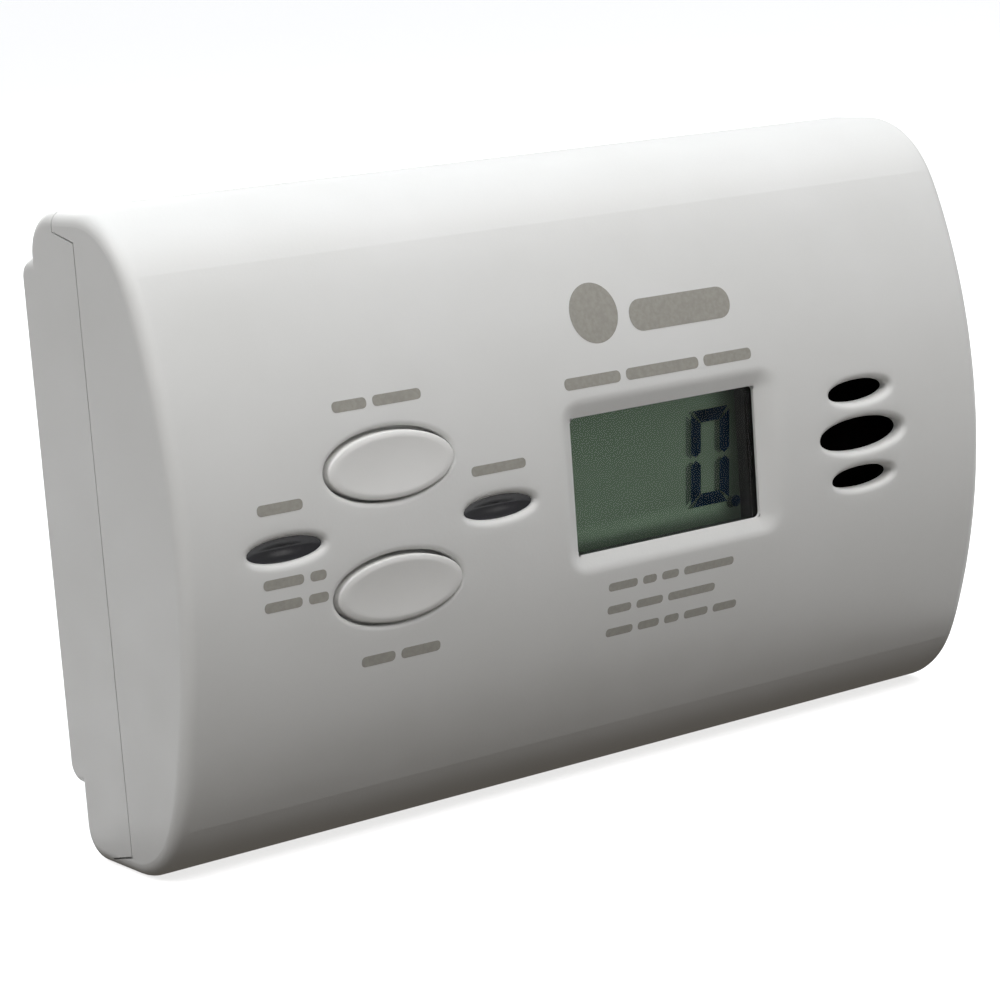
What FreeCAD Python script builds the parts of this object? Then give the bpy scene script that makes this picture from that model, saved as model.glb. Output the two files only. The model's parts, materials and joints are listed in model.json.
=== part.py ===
import FreeCAD, Part
import math
import os

# Battery-powered carbon monoxide detector: a wide white box with a bowed front,
# two oval buttons, two smoked lamp windows, a small display and three vents.
# Millimetres. x runs along the width, z is up from the underside, and the front
# faces -y. Depths below are measured back from the foremost line of the front,
# so that y = depth - MID_DEPTH.

V = FreeCAD.Vector

# ---- housing -------------------------------------------------------------
WIDTH = 146.0
HEIGHT = 92.0
DEPTH = 38.0
BODY_DEPTH = 35.0          # back of the body, without the raised rear plinth
MID_Z = HEIGHT / 2
FRONT_R = 93.6             # bow of the front, seen from the end
FRONT_CORNER_R = 14.0
BACK_TOP_R = 6.5
BACK_BOTTOM_R = 4.8
EDGE_R = 2.0               # round between the end faces and the rest
WALL = 2.2
PLINTH_LOW = 10.6
PLINTH_HIGH = 85.4
PLINTH_R = 2.9
PLINTH_ROOT = 31.0         # where the plinth starts, inside the body

# ---- seam between the two covers -----------------------------------------
SEAM_DEPTH = 27.0
SIDE_SEAM_DEPTH = 21.3
SIDE_SEAM_LOW = 2.6
SIDE_SEAM_HIGH = 87.9
SEAM_STEP = 1.6            # how far the side seam slants to meet the top and bottom ones
SEAM_GAP = 0.3
TONGUE = 2.2
TONGUE_CLEARANCE = 0.12

# ---- face: one row of features at FACE_Z ----------------------------------
FACE_Z = 46.0
BUTTON_X = -39.1
BUTTON_RISE = 8.6          # each button's centre above or below the row
BUTTON_A = 10.2
BUTTON_B = 4.6
BUTTON_PROUD = 0.75
BUTTON_GAP = 0.5
BUTTON_REACH = 0.65        # how far the buttons stand in front of the cover's foremost line
LAMP_REACH = 17.7          # lamp windows left and right of the buttons
LAMP_Z = FACE_Z - 0.25
LAMP_A = 5.95
LAMP_B = 1.65
VENT_X = 47.7
VENT_Z = FACE_Z - 0.28
VENT_PITCH = 6.68
VENT_SIZES = [(6.1, 1.7), (8.4, 2.55), (6.1, 1.65)]
WINDOW_X = 10.05
WINDOW_W = 34.6
WINDOW_H = 20.0
WINDOW_R = 0.9
RECESS_W = 40.7
RECESS_H = 24.6
RECESS_SHIFT = 0.7         # the recess reaches further on the right of the window
RECESS_FLOOR = 1.6
RECESS_R = 4.2
RECESS_LEDGE = 0.4         # flat rim round the window, in the recess's floor
PAD_EXTRA = 5.0            # how much wider and taller the thick part behind the recess is

MID_DEPTH = (DEPTH - BUTTON_REACH) / 2

# ---- board and what stands on it -------------------------------------------
BOARD_FRONT = 15.0
BOARD_T = 1.6
BOARD_BACK = BOARD_FRONT + BOARD_T
BOARD_X = 61.0
BOARD_LOW = 9.0
BOARD_HIGH = 83.0
BOARD_SCREW_X = 57.0
BOARD_SCREW_Z = (14.0, 78.0)
POST_X = 65.5
POST_Z = (18.0, 78.0)
SCREW_SEAT = 30.0

# ---- display --------------------------------------------------------------
LENS_FRONT = 2.1
LENS_T = 1.2
GLASS_FRONT = 6.0
GLASS_T = 1.1
GLASS_W = 38.0
GLASS_H = 25.0

# ---- horn and sensor --------------------------------------------------------
HORN_R = 13.3
HORN_FRONT = 5.0
CLOTH_R = 10.0
DISC_R = 12.0
DISC_DEPTH = 9.5
DISC_T = 0.3
CERAMIC_R = 8.5
CERAMIC_T = 0.25
MOUTH_R = 9.0
SEAL_R = 12.2
SENSOR_X = 46.0
SENSOR_Z = 62.0
SENSOR_R = 10.0
SENSOR_FRONT = BOARD_BACK + 1.2
SENSOR_LENGTH = 13.0

# ---- batteries: three AA cells, one above another ----------------------------
CELL_R = 7.1
CELL_LENGTH = 49.5
NUB_R = 2.75
NUB_LENGTH = 1.0
CELL_PITCH = 15.2
CELL_DEPTH = 28.8
BAY_LEFT = -60.5
BAY_RIGHT = -3.5
BAY_LOW = 22.0
BAY_HIGH = 70.0
BAY_WALL = 1.6
BAY_FLOOR = 21.3
PLATE_T = 0.5
SPRING_TURNS = 4
SPRING_R = 4.4
SPRING_TAPER = 0.5         # each turn's radius is smaller than the last by this
SPRING_WIRE_R = 0.35

# ---- battery door --------------------------------------------------------------
DOOR_T = 1.8
DOOR_GAP = 0.25
BARREL_R = 2.0
HINGE_DEPTH = DEPTH - BARREL_R
HINGE_Z = BAY_LOW + DOOR_GAP + BARREL_R
HINGE_PIN_R = 0.9
HINGE_PIN_LENGTH = 2.0
HINGE_CLEARANCE = 0.05

# ---- wall hanging -----------------------------------------------------------------
KEYHOLE_X = 50.0
KEYHOLE_Z = 75.6
KEYHOLE_R = 4.25
SLOT_R = 2.0
SLOT_RISE = 5.2


# ---- shapes used again and again ----------------------------------------------------
def at(x, depth, z):
    return V(x, depth - MID_DEPTH, z)


def block(x0, x1, d0, d1, z0, z1):
    return Part.makeBox(x1 - x0, d1 - d0, z1 - z0, at(x0, d0, z0))


def rod(x, z, r, d0, d1):
    """A cylinder from depth d0 to depth d1."""
    return Part.makeCylinder(r, d1 - d0, at(x, d0, z), V(0, 1, 0))


def rod_x(depth, z, r, x0, x1):
    return Part.makeCylinder(r, x1 - x0, at(x0, depth, z), V(1, 0, 0))


def oval(x, z, a, b, d0, d1):
    """An upright elliptical plug of half width a and half height b."""
    edge = Part.Ellipse(at(x + a, d0, z), at(x, d0, z + b), at(x, d0, z)).toShape()
    return Part.Face(Part.Wire([edge])).extrude(V(0, d1 - d0, 0))


def rounded_wire(x, z, w, h, r, depth):
    """A rounded rectangle, centred on x, z, at one depth."""
    edges = []
    corners = [(1, 1), (-1, 1), (-1, -1), (1, -1)]
    for i, (sx, sz) in enumerate(corners):
        cx, cz = x + sx * (w / 2 - r), z + sz * (h / 2 - r)
        ends = [math.radians(90 * i + turn) for turn in (0, 45, 90)]
        points = [at(cx + r * math.cos(a), depth, cz + r * math.sin(a)) for a in ends]
        edges.append(Part.Arc(*points).toShape())
    for i in range(4):
        start = edges[i].Vertexes[-1].Point
        end = edges[(i + 1) % 4].Vertexes[0].Point
        edges.append(Part.LineSegment(start, end).toShape())
    return Part.Wire(Part.__sortEdges__(edges))


def rounded_block(x, z, w, h, r, d0, d1):
    return Part.Face(rounded_wire(x, z, w, h, r, d0)).extrude(V(0, d1 - d0, 0))


def join(shapes):
    whole = shapes[0]
    for shape in shapes[1:]:
        whole = whole.fuse(shape)
    return whole.removeSplitter()


def each(shapes):
    """Separate solids kept in one node."""
    return Part.makeCompound(shapes)


def front_depth(z):
    """Depth of the bowed front face at height z."""
    return FRONT_R - math.sqrt(FRONT_R ** 2 - (z - MID_Z) ** 2)


# ---- the housing's end outline ---------------------------------------------------------
def outline(inset):
    """The end outline at x = 0, moved inwards by inset."""
    corner_depth = FRONT_R - math.sqrt(
        (FRONT_R - FRONT_CORNER_R) ** 2 - (MID_Z - FRONT_CORNER_R) ** 2
    )
    lean = math.degrees(math.atan2(MID_Z - FRONT_CORNER_R, FRONT_R - corner_depth))
    arcs = [
        (FRONT_R, MID_Z, FRONT_R, 180 - lean, 180 + lean),
        (corner_depth, FRONT_CORNER_R, FRONT_CORNER_R, 180 + lean, 270),
        (BODY_DEPTH - BACK_BOTTOM_R, BACK_BOTTOM_R, BACK_BOTTOM_R, 270, 360),
        (BODY_DEPTH - BACK_TOP_R, HEIGHT - BACK_TOP_R, BACK_TOP_R, 0, 90),
        (corner_depth, HEIGHT - FRONT_CORNER_R, FRONT_CORNER_R, 90, 180 - lean),
    ]
    edges = []
    for depth, z, radius, start, end in arcs:
        r = radius - inset
        turn = [math.radians(a) for a in (start, (start + end) / 2, end)]
        edges.append(
            Part.Arc(*[at(0, depth + r * math.cos(a), z + r * math.sin(a)) for a in turn]).toShape()
        )
    for i in (1, 2, 3):
        start = edges[i].Vertexes[-1].Point
        end = edges[i + 1].Vertexes[0].Point
        edges.append(Part.LineSegment(start, end).toShape())
    return Part.Wire(Part.__sortEdges__(edges))


def prism(inset):
    """The outline's solid, inset all round and at both ends."""
    half = WIDTH / 2 - inset
    wire = outline(inset)
    wire.translate(V(-half, 0, 0))
    return Part.Face(wire).extrude(V(2 * half, 0, 0))


def end_edges(solid):
    """The edges that lie in the two end faces."""
    return [e for e in solid.Edges if e.BoundBox.XLength < 1e-4]


def plinth(inset):
    half = WIDTH / 2 - inset
    back = DEPTH - inset
    low = PLINTH_LOW + inset
    high = PLINTH_HIGH - inset
    r = PLINTH_R - inset if inset < PLINTH_R else 0
    corner = math.sqrt(0.5) * r
    low_arc = Part.Arc(
        at(-half, back - r, low),
        at(-half, back - r + corner, low + r - corner),
        at(-half, back, low + r),
    )
    high_arc = Part.Arc(
        at(-half, back, high - r),
        at(-half, back - r + corner, high - r + corner),
        at(-half, back - r, high),
    )
    sides = [
        (at(-half, PLINTH_ROOT, low), at(-half, back - r, low)),
        (at(-half, back, low + r), at(-half, back, high - r)),
        (at(-half, back - r, high), at(-half, PLINTH_ROOT, high)),
        (at(-half, PLINTH_ROOT, high), at(-half, PLINTH_ROOT, low)),
    ]
    edges = [low_arc.toShape(), high_arc.toShape()]
    edges += [Part.LineSegment(start, end).toShape() for start, end in sides]
    wire = Part.Wire(Part.__sortEdges__(edges))
    return Part.Face(wire).extrude(V(2 * half, 0, 0))


def outer_body():
    body = prism(0)
    body = body.makeFillet(EDGE_R, end_edges(body))
    raised = plinth(0)
    rim = [e for e in end_edges(raised) if e.CenterOfMass.y > PLINTH_ROOT - MID_DEPTH + 0.1]
    return body.fuse(raised.makeFillet(EDGE_R * 0.75, rim))


def inner_space():
    return prism(WALL).fuse(plinth(WALL))


def back_zone(margin):
    """Everything behind the seam; a negative margin moves the seam forwards."""
    far = DEPTH + 10
    zone = block(-WIDTH, WIDTH, SEAM_DEPTH + margin, far, -10, HEIGHT + 10)
    low = SIDE_SEAM_LOW + margin
    high = SIDE_SEAM_HIGH - margin
    front = SIDE_SEAM_DEPTH + margin
    for side in (-1, 1):
        inner = side * (WIDTH / 2 - WALL - 0.4)
        corners = [
            at(inner, front, low),
            at(inner, front, high),
            at(inner, SEAM_DEPTH + 1, high + SEAM_STEP),
            at(inner, SEAM_DEPTH + 1, low - SEAM_STEP),
        ]
        face = Part.Face(Part.makePolygon(corners + corners[:1]))
        zone = zone.fuse(face.extrude(V(side * 10, 0, 0)))
    return zone


# ---- front cover -----------------------------------------------------------------
RIM_R = 1.1                # round of the vents' and lamp windows' outer edges
BUTTON_RIM_R = 0.35
POST_R = 3.2
POST_BORE_R = 1.35
BOSS_R = 2.8
BOSS_BORE_R = 1.05
COLLAR_R = 13.4
COLLAR_BACK = 4.4


def window_pad():
    """Extra thickness behind the display recess."""
    pad = rounded_block(WINDOW_X, FACE_Z, RECESS_W + PAD_EXTRA, RECESS_H + PAD_EXTRA, 3,
                        0, LENS_FRONT + LENS_T)
    return pad.common(prism(WALL / 2))


def window_cutter():
    """The sloping recess, the window in its floor and the pocket for the lens."""
    x = WINDOW_X + RECESS_SHIFT
    top = rounded_wire(x, FACE_Z, RECESS_W + 2.0, RECESS_H + 1.6, RECESS_R, -0.6)
    floor = rounded_wire(WINDOW_X, FACE_Z, WINDOW_W + 2 * RECESS_LEDGE, WINDOW_H + 2 * RECESS_LEDGE,
                         WINDOW_R + RECESS_LEDGE, RECESS_FLOOR)
    recess = Part.makeLoft([top, floor], True, True)
    window = rounded_block(WINDOW_X, FACE_Z, WINDOW_W, WINDOW_H, WINDOW_R, -1, 6)
    pocket = rounded_block(WINDOW_X, FACE_Z, WINDOW_W + 3.4, WINDOW_H + 3.4, 1.5, LENS_FRONT, 6)
    return recess.fuse([window, pocket])


def on_oval(edge, x, z, a, b, surface):
    """Whether an edge is the rim where an oval hole meets the front face."""
    for point in (edge.Vertexes[0].Point, edge.valueAt(sum(edge.ParameterRange) / 2)):
        share = ((point.x - x) / a) ** 2 + ((point.z - z) / b) ** 2
        if abs(share - 1) > 0.03 or point.y + MID_DEPTH > surface + 0.6:
            return False
    return True


def oval_hole(cover, x, z, a, b, rim):
    """Cuts an oval through the front wall and rounds its outer edge."""
    cover = cover.cut(oval(x, z, a, b, -2, front_depth(z) + WALL + 1))
    edges = [e for e in cover.Edges if on_oval(e, x, z, a, b, front_depth(z))]
    return cover.makeFillet(rim, edges)


def vents():
    for i, (a, b) in enumerate(VENT_SIZES):
        yield VENT_Z + (1 - i) * VENT_PITCH, a, b


def front_posts():
    """Screw posts for the back cover, and bosses that carry the board."""
    posts = []
    for side in (-1, 1):
        for z in POST_Z:
            post = rod(side * POST_X, z, POST_R, 0, SCREW_SEAT - 1.8)
            posts.append(post.cut(rod(side * POST_X, z, POST_BORE_R, 12, SCREW_SEAT)))
        for z in BOARD_SCREW_Z:
            boss = rod(side * BOARD_SCREW_X, z, BOSS_R, 0, BOARD_FRONT)
            posts.append(boss.cut(rod(side * BOARD_SCREW_X, z, BOSS_BORE_R, 8.4, BOARD_BACK)))
    room = prism(WALL / 2)
    return [post.common(room) for post in posts]


def horn_collar():
    """A short ring on the inside of the front that centres the horn's seal."""
    ring = rod(VENT_X, VENT_Z, COLLAR_R, 0, COLLAR_BACK)
    return ring.cut(rod(VENT_X, VENT_Z, COLLAR_R - 1, 0, COLLAR_BACK + 1)).common(prism(WALL / 2))


def front_cover():
    cover = outer_body().cut(inner_space()).cut(back_zone(-SEAM_GAP / 2))
    rebate = prism(WALL / 2 - TONGUE_CLEARANCE).cut(prism(WALL + 0.5))
    cover = cover.cut(rebate.common(back_zone(-TONGUE - SEAM_GAP)))
    for z, a, b in vents():
        cover = oval_hole(cover, VENT_X, z, a, b, RIM_R)
    for side in (-1, 1):
        cover = oval_hole(cover, BUTTON_X + side * LAMP_REACH, LAMP_Z, LAMP_A, LAMP_B, RIM_R)
        z = FACE_Z + side * BUTTON_RISE
        a, b = BUTTON_A + BUTTON_GAP, BUTTON_B + BUTTON_GAP
        cover = oval_hole(cover, BUTTON_X, z, a, b, BUTTON_RIM_R)
    cover = cover.fuse([window_pad(), horn_collar()] + front_posts())
    return cover.cut(window_cutter()).removeSplitter()


# ---- back cover --------------------------------------------------------------------
WELL_R = 4.2               # outside of the deep wells for the housing's screws
WELL_HOLE_R = 1.5


def battery_bay():
    """The tray's floor and four walls, and the two hinge sockets."""
    outside = block(BAY_LEFT - BAY_WALL, BAY_RIGHT + BAY_WALL, BAY_FLOOR - BAY_WALL,
                    DEPTH - WALL, BAY_LOW - BAY_WALL, BAY_HIGH + BAY_WALL)
    sockets = [
        block(x0, x1, HINGE_DEPTH - 3, DEPTH - WALL, HINGE_Z - 3, HINGE_Z + 3)
        for x0, x1 in (
            (BAY_LEFT - HINGE_PIN_LENGTH - 1, BAY_LEFT - 0.1),
            (BAY_RIGHT + 0.1, BAY_RIGHT + HINGE_PIN_LENGTH + 1),
        )
    ]
    return outside.fuse(sockets)


def bay_space():
    """The tray's inside, out through the door opening, with the hinge bores."""
    inside = block(BAY_LEFT, BAY_RIGHT, BAY_FLOOR, DEPTH + 5, BAY_LOW, BAY_HIGH)
    bore_r = HINGE_PIN_R + HINGE_CLEARANCE
    bore = rod_x(HINGE_DEPTH, HINGE_Z, bore_r, BAY_LEFT - HINGE_PIN_LENGTH - 0.2,
                 BAY_RIGHT + HINGE_PIN_LENGTH + 0.2)
    pins = [rod(x, z, 0.6, BAY_FLOOR - 3, BAY_FLOOR + 1) for x, z in battery_pin_places()]
    return inside.fuse([bore] + pins)


def keyhole(side):
    """The entry hole and the narrow slot above it."""
    x = side * KEYHOLE_X
    entry = rod(x, KEYHOLE_Z, KEYHOLE_R, DEPTH - WALL - 1, DEPTH + 1)
    top = rod(x, KEYHOLE_Z + SLOT_RISE, SLOT_R, DEPTH - WALL - 1, DEPTH + 1)
    slot = block(x - SLOT_R, x + SLOT_R, DEPTH - WALL - 1, DEPTH + 1,
                 KEYHOLE_Z, KEYHOLE_Z + SLOT_RISE)
    return entry.fuse([top, slot])


def screw_well(side, z):
    x = side * POST_X
    return rod(x, z, WELL_R, SCREW_SEAT - 1.6, DEPTH - WALL / 2)


def screw_well_space(side, z):
    x = side * POST_X
    head_room = rod(x, z, WELL_R - 1, SCREW_SEAT, DEPTH + 1)
    return head_room.fuse(rod(x, z, WELL_HOLE_R, SCREW_SEAT - 3, SCREW_SEAT + 1))


def thumb_scoop():
    """A shallow dish above the door's latch, for a fingertip."""
    radius = 14.0
    dip = 1.1
    centre = at((BAY_LEFT + BAY_RIGHT) / 2, DEPTH - dip + radius, BAY_HIGH)
    return Part.makeSphere(radius, centre)


def back_cover():
    shell = outer_body().cut(inner_space()).common(back_zone(SEAM_GAP / 2))
    lining = prism(WALL / 2).cut(prism(WALL))
    tongue = lining.common(back_zone(-TONGUE)).cut(back_zone(1.0))
    cover = shell.fuse(tongue)
    wells = [(side, z) for side in (-1, 1) for z in POST_Z]
    cover = cover.fuse([battery_bay()] + [screw_well(side, z) for side, z in wells])
    cutters = [bay_space(), thumb_scoop(), label_pocket()]
    cutters += [keyhole(-1), keyhole(1)]
    cutters += [screw_well_space(side, z) for side, z in wells]
    return cover.cut(cutters).removeSplitter()


def label_place():
    return 33.0, 43.0, 50.0, 46.0


def label_pocket():
    x, z, w, h = label_place()
    return rounded_block(x, z, w + 0.4, h + 0.4, 2.2, DEPTH - 0.2, DEPTH + 1)


def rear_label():
    x, z, w, h = label_place()
    return rounded_block(x, z, w, h, 2.0, DEPTH - 0.2, DEPTH - 0.05)


# ---- battery door ------------------------------------------------------------------
RIB_HALF = 20.0
LATCH_X = 8.0              # slots left and right of the springy latch
LATCH_LENGTH = 9.0
GRIP_HALF = 5.5
GRIP_PITCH = 1.5


def battery_door():
    left, right = BAY_LEFT + DOOR_GAP, BAY_RIGHT - DOOR_GAP
    top = BAY_HIGH - DOOR_GAP
    middle = (left + right) / 2
    plate = block(left, right, DEPTH - DOOR_T, DEPTH, HINGE_Z, top)
    plate = plate.makeFillet(0.5, [e for e in plate.Edges if e.BoundBox.ZMin > top - 0.01
                                   and e.BoundBox.YMax > DEPTH - MID_DEPTH - 0.01])
    barrel = rod_x(HINGE_DEPTH, HINGE_Z, BARREL_R, left, right)
    pins = rod_x(HINGE_DEPTH, HINGE_Z, HINGE_PIN_R, BAY_LEFT - HINGE_PIN_LENGTH,
                 BAY_RIGHT + HINGE_PIN_LENGTH)
    ribs = [
        block(middle - RIB_HALF, middle + RIB_HALF, DEPTH - DOOR_T - 2, DEPTH - DOOR_T + 0.2,
              z - 0.6, z + 0.6)
        for z in (FACE_Z - CELL_PITCH / 2, FACE_Z + CELL_PITCH / 2)
    ]
    door = join([plate, barrel, pins] + ribs)
    slots = [
        block(middle + side * LATCH_X - 0.5, middle + side * LATCH_X + 0.5, DEPTH - 4, DEPTH + 1,
              top - LATCH_LENGTH, top + 1)
        for side in (-1, 1)
    ]
    grips = [
        rod_x(DEPTH + 0.25, top - 2.2 - GRIP_PITCH * i, 0.6, middle - GRIP_HALF, middle + GRIP_HALF)
        for i in range(4)
    ]
    return door.cut(slots + grips)


# ---- buttons and their switches ---------------------------------------------------
def button_z(side):
    return FACE_Z + side * BUTTON_RISE


SWITCH_H = 3.5
SWITCH_FRONT = BOARD_FRONT - SWITCH_H
PLUNGER_FRONT = SWITCH_FRONT - 1.5
PLUNGER_R = 1.7
SWITCH_HALF = 3.0
CAP_ROUND = 0.7
FLANGE_REACH = 1.1
FLANGE_FRONT = 3.4
FLANGE_BACK = 4.4
CAP_WALL = 1.5
STEM_R = 2.0


def button(side):
    """A crowned oval cap with a retaining flange and a stem."""
    z = button_z(side)
    cap = oval(BUTTON_X, z, BUTTON_A, BUTTON_B, -2, 5.2)
    cap = cap.common(prism(-BUTTON_PROUD))
    edges = [e for e in cap.Edges if on_oval(e, BUTTON_X, z, BUTTON_A, BUTTON_B, 0.3)]
    cap = cap.makeFillet(CAP_ROUND, edges)
    flange = oval(BUTTON_X, z, BUTTON_A + FLANGE_REACH, BUTTON_B + FLANGE_REACH,
                  FLANGE_FRONT, FLANGE_BACK)
    hollow = oval(BUTTON_X, z, BUTTON_A - CAP_WALL, BUTTON_B - CAP_WALL, 2.0, 6)
    shell = cap.fuse(flange).cut(hollow)
    stem = rod(BUTTON_X, z, STEM_R, CAP_WALL, PLUNGER_FRONT)
    rib = block(BUTTON_X - BUTTON_A + 1, BUTTON_X + BUTTON_A - 1, CAP_WALL, FLANGE_BACK,
                z - 0.5, z + 0.5)
    return join([shell, stem, rib])


def switch_body(side):
    z = button_z(side)
    body = block(BUTTON_X - SWITCH_HALF, BUTTON_X + SWITCH_HALF, SWITCH_FRONT, BOARD_FRONT,
                 z - SWITCH_HALF, z + SWITCH_HALF)
    body = body.makeFillet(0.5, [e for e in body.Edges if e.BoundBox.YLength > SWITCH_H - 0.1])
    return body.cut(rod(BUTTON_X, z, PLUNGER_R + 0.1, SWITCH_FRONT - 1, SWITCH_FRONT + 2.2))


def plunger(side):
    z = button_z(side)
    pin = rod(BUTTON_X, z, PLUNGER_R, PLUNGER_FRONT, SWITCH_FRONT + 1.5)
    return pin.makeChamfer(0.25, [pin.Edges[0]])


# ---- lamps -------------------------------------------------------------------------
LED_R = 1.5
LED_TIP = 9.3
LED_FLANGE_R = 1.9
LEG_X = 1.27               # each leg's distance from the lamp's middle
LEG_HALF = 0.25
LEG_HOLE_HALF = 0.4
GUIDE_BACK = 9.0


def lamp_lens(side):
    """A smoked oval lens with a flange, and the light guide behind it."""
    x = BUTTON_X + side * LAMP_REACH
    fit = 0.06
    plug = oval(x, LAMP_Z, LAMP_A - fit, LAMP_B - fit, 0.9, WALL + 0.1)
    flange = oval(x, LAMP_Z, LAMP_A + 1, LAMP_B + 1.4, WALL + 0.1, WALL + 1.1)
    guide = rounded_block(x, LAMP_Z, 5, 3.4, 0.8, WALL + 1, GUIDE_BACK)
    return join([plug, flange, guide])


def lamp_led(side):
    """A 3 mm lamp: domed body, flange and two legs into the board."""
    x = BUTTON_X + side * LAMP_REACH
    body = rod(x, LAMP_Z, LED_R, LED_TIP + LED_R, BOARD_FRONT - 1)
    dome = Part.makeSphere(LED_R, at(x, LED_TIP + LED_R, LAMP_Z))
    flange = rod(x, LAMP_Z, LED_FLANGE_R, BOARD_FRONT - 1.4, BOARD_FRONT - 0.4)
    legs = [leg(side, way, LEG_HALF, BOARD_FRONT - 0.6, BOARD_BACK + 0.8) for way in (-1, 1)]
    return join([body, dome, flange] + legs)


def leg(side, way, half, d0, d1):
    """One square leg of a lamp, or the hole for it."""
    x = BUTTON_X + side * LAMP_REACH + way * LEG_X
    return block(x - half, x + half, d0, d1, LAMP_Z - half, LAMP_Z + half)


def lamp_leg_holes():
    return [
        leg(side, way, LEG_HOLE_HALF, BOARD_FRONT - 1, BOARD_BACK + 1)
        for side in (-1, 1) for way in (-1, 1)
    ]


# ---- display ---------------------------------------------------------------------
PANE_EXTRA = 3.1           # how much wider and taller the pane is than its window
PANE_R = 1.4
VIEW_INSET = 0.4           # how far the gasket and holder reach in front of the display
VIEW_EXTRA = 0.55
GASKET_T = 0.5
HOLDER_WALL = 1.8
HOLDER_R = 1.2
GLASS_CLEARANCE = 0.15
HOLDER_FRONT = LENS_FRONT + LENS_T + GASKET_T
GLASS_BACK = GLASS_FRONT + 2 * GLASS_T


def display_window():
    return rounded_block(WINDOW_X, FACE_Z, WINDOW_W + PANE_EXTRA, WINDOW_H + PANE_EXTRA, PANE_R,
                         LENS_FRONT, LENS_FRONT + LENS_T)


def view_opening(d0, d1):
    """What lets the display be seen: a little larger than the window below, smaller elsewhere."""
    return block(WINDOW_X - WINDOW_W / 2 + VIEW_INSET, WINDOW_X + WINDOW_W / 2, d0 - 1, d1 + 1,
                 FACE_Z - WINDOW_H / 2 - VIEW_EXTRA, FACE_Z + WINDOW_H / 2 - VIEW_INSET)


def display_gasket():
    pad = rounded_block(WINDOW_X, FACE_Z, WINDOW_W + PANE_EXTRA, WINDOW_H + PANE_EXTRA, PANE_R,
                        LENS_FRONT + LENS_T, HOLDER_FRONT)
    return pad.cut(view_opening(LENS_FRONT, HOLDER_FRONT))


def display_holder():
    """A dark box: a lip behind the window, and walls that stand on the board."""
    outer_w, outer_h = GLASS_W + 2 * HOLDER_WALL, GLASS_H + 2 * HOLDER_WALL
    box = rounded_block(WINDOW_X, FACE_Z, outer_w, outer_h, HOLDER_R, HOLDER_FRONT, BOARD_FRONT)
    room = block(WINDOW_X - GLASS_W / 2 - GLASS_CLEARANCE, WINDOW_X + GLASS_W / 2 + GLASS_CLEARANCE,
                 GLASS_FRONT, BOARD_FRONT + 1,
                 FACE_Z - GLASS_H / 2 - GLASS_CLEARANCE, FACE_Z + GLASS_H / 2 + GLASS_CLEARANCE)
    return box.cut([view_opening(HOLDER_FRONT, GLASS_FRONT), room])


def glass(layer):
    front = GLASS_FRONT + layer * GLASS_T
    return block(WINDOW_X - GLASS_W / 2, WINDOW_X + GLASS_W / 2, front, front + GLASS_T,
                 FACE_Z - GLASS_H / 2, FACE_Z + GLASS_H / 2)


def display_reflector():
    half = GLASS_H / 2 - 2.4
    return block(WINDOW_X - GLASS_W / 2 + 0.5, WINDOW_X + GLASS_W / 2 - 0.5, GLASS_BACK,
                 GLASS_BACK + 0.25, FACE_Z - half, FACE_Z + half)


def display_connectors():
    """Two elastomer strips that join the glass to the board."""
    strips = []
    for side in (-1, 1):
        z = FACE_Z + side * (GLASS_H / 2 - 1.1)
        strips.append(block(WINDOW_X - GLASS_W / 2 + 1, WINDOW_X + GLASS_W / 2 - 1,
                            GLASS_BACK, BOARD_FRONT, z - 1, z + 1))
    return each(strips)


# ---- horn ---------------------------------------------------------------------------
def horn_housing():
    """A round chamber that is open to the vents and closed by the piezo disc."""
    can = rod(VENT_X, VENT_Z, HORN_R, HORN_FRONT, BOARD_FRONT)
    chamber = rod(VENT_X, VENT_Z, DISC_R - 0.9, HORN_FRONT + 1.4, DISC_DEPTH + 1)
    seat = rod(VENT_X, VENT_Z, DISC_R + 0.1, DISC_DEPTH, BOARD_FRONT + 1)
    mouth = rod(VENT_X, VENT_Z, MOUTH_R, HORN_FRONT - 1, HORN_FRONT + 2)
    return can.cut([chamber, seat, mouth])


def horn_gasket():
    """A foam ring between the horn and the bowed front."""
    ring = rod(VENT_X, VENT_Z, SEAL_R, 0, HORN_FRONT)
    return ring.cut(rod(VENT_X, VENT_Z, SEAL_R - 2, -1, HORN_FRONT + 1)).common(prism(WALL))


def piezo_disc():
    return rod(VENT_X, VENT_Z, DISC_R, DISC_DEPTH, DISC_DEPTH + DISC_T)


def piezo_ceramic():
    front = DISC_DEPTH + DISC_T
    return rod(VENT_X, VENT_Z, CERAMIC_R, front, front + CERAMIC_T)


def horn_contacts():
    """Three sprung pins from the board to the disc."""
    pins = []
    for reach, turn in ((10.5, 90), (6.0, 210), (3.0, 330)):
        x = VENT_X + reach * math.cos(math.radians(turn))
        z = VENT_Z + reach * math.sin(math.radians(turn))
        start = DISC_DEPTH + (DISC_T if reach > CERAMIC_R else DISC_T + CERAMIC_T)
        pin = rod(x, z, 0.35, start, BOARD_FRONT)
        pins.append(pin.fuse(rod(x, z, 0.9, BOARD_FRONT - 2.5, BOARD_FRONT)))
    return each(pins)


def dust_screen():
    """A thin round acoustic cloth between the vents and the horn."""
    return rod(VENT_X, VENT_Z, CLOTH_R, HORN_FRONT - 0.5, HORN_FRONT - 0.15)


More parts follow.
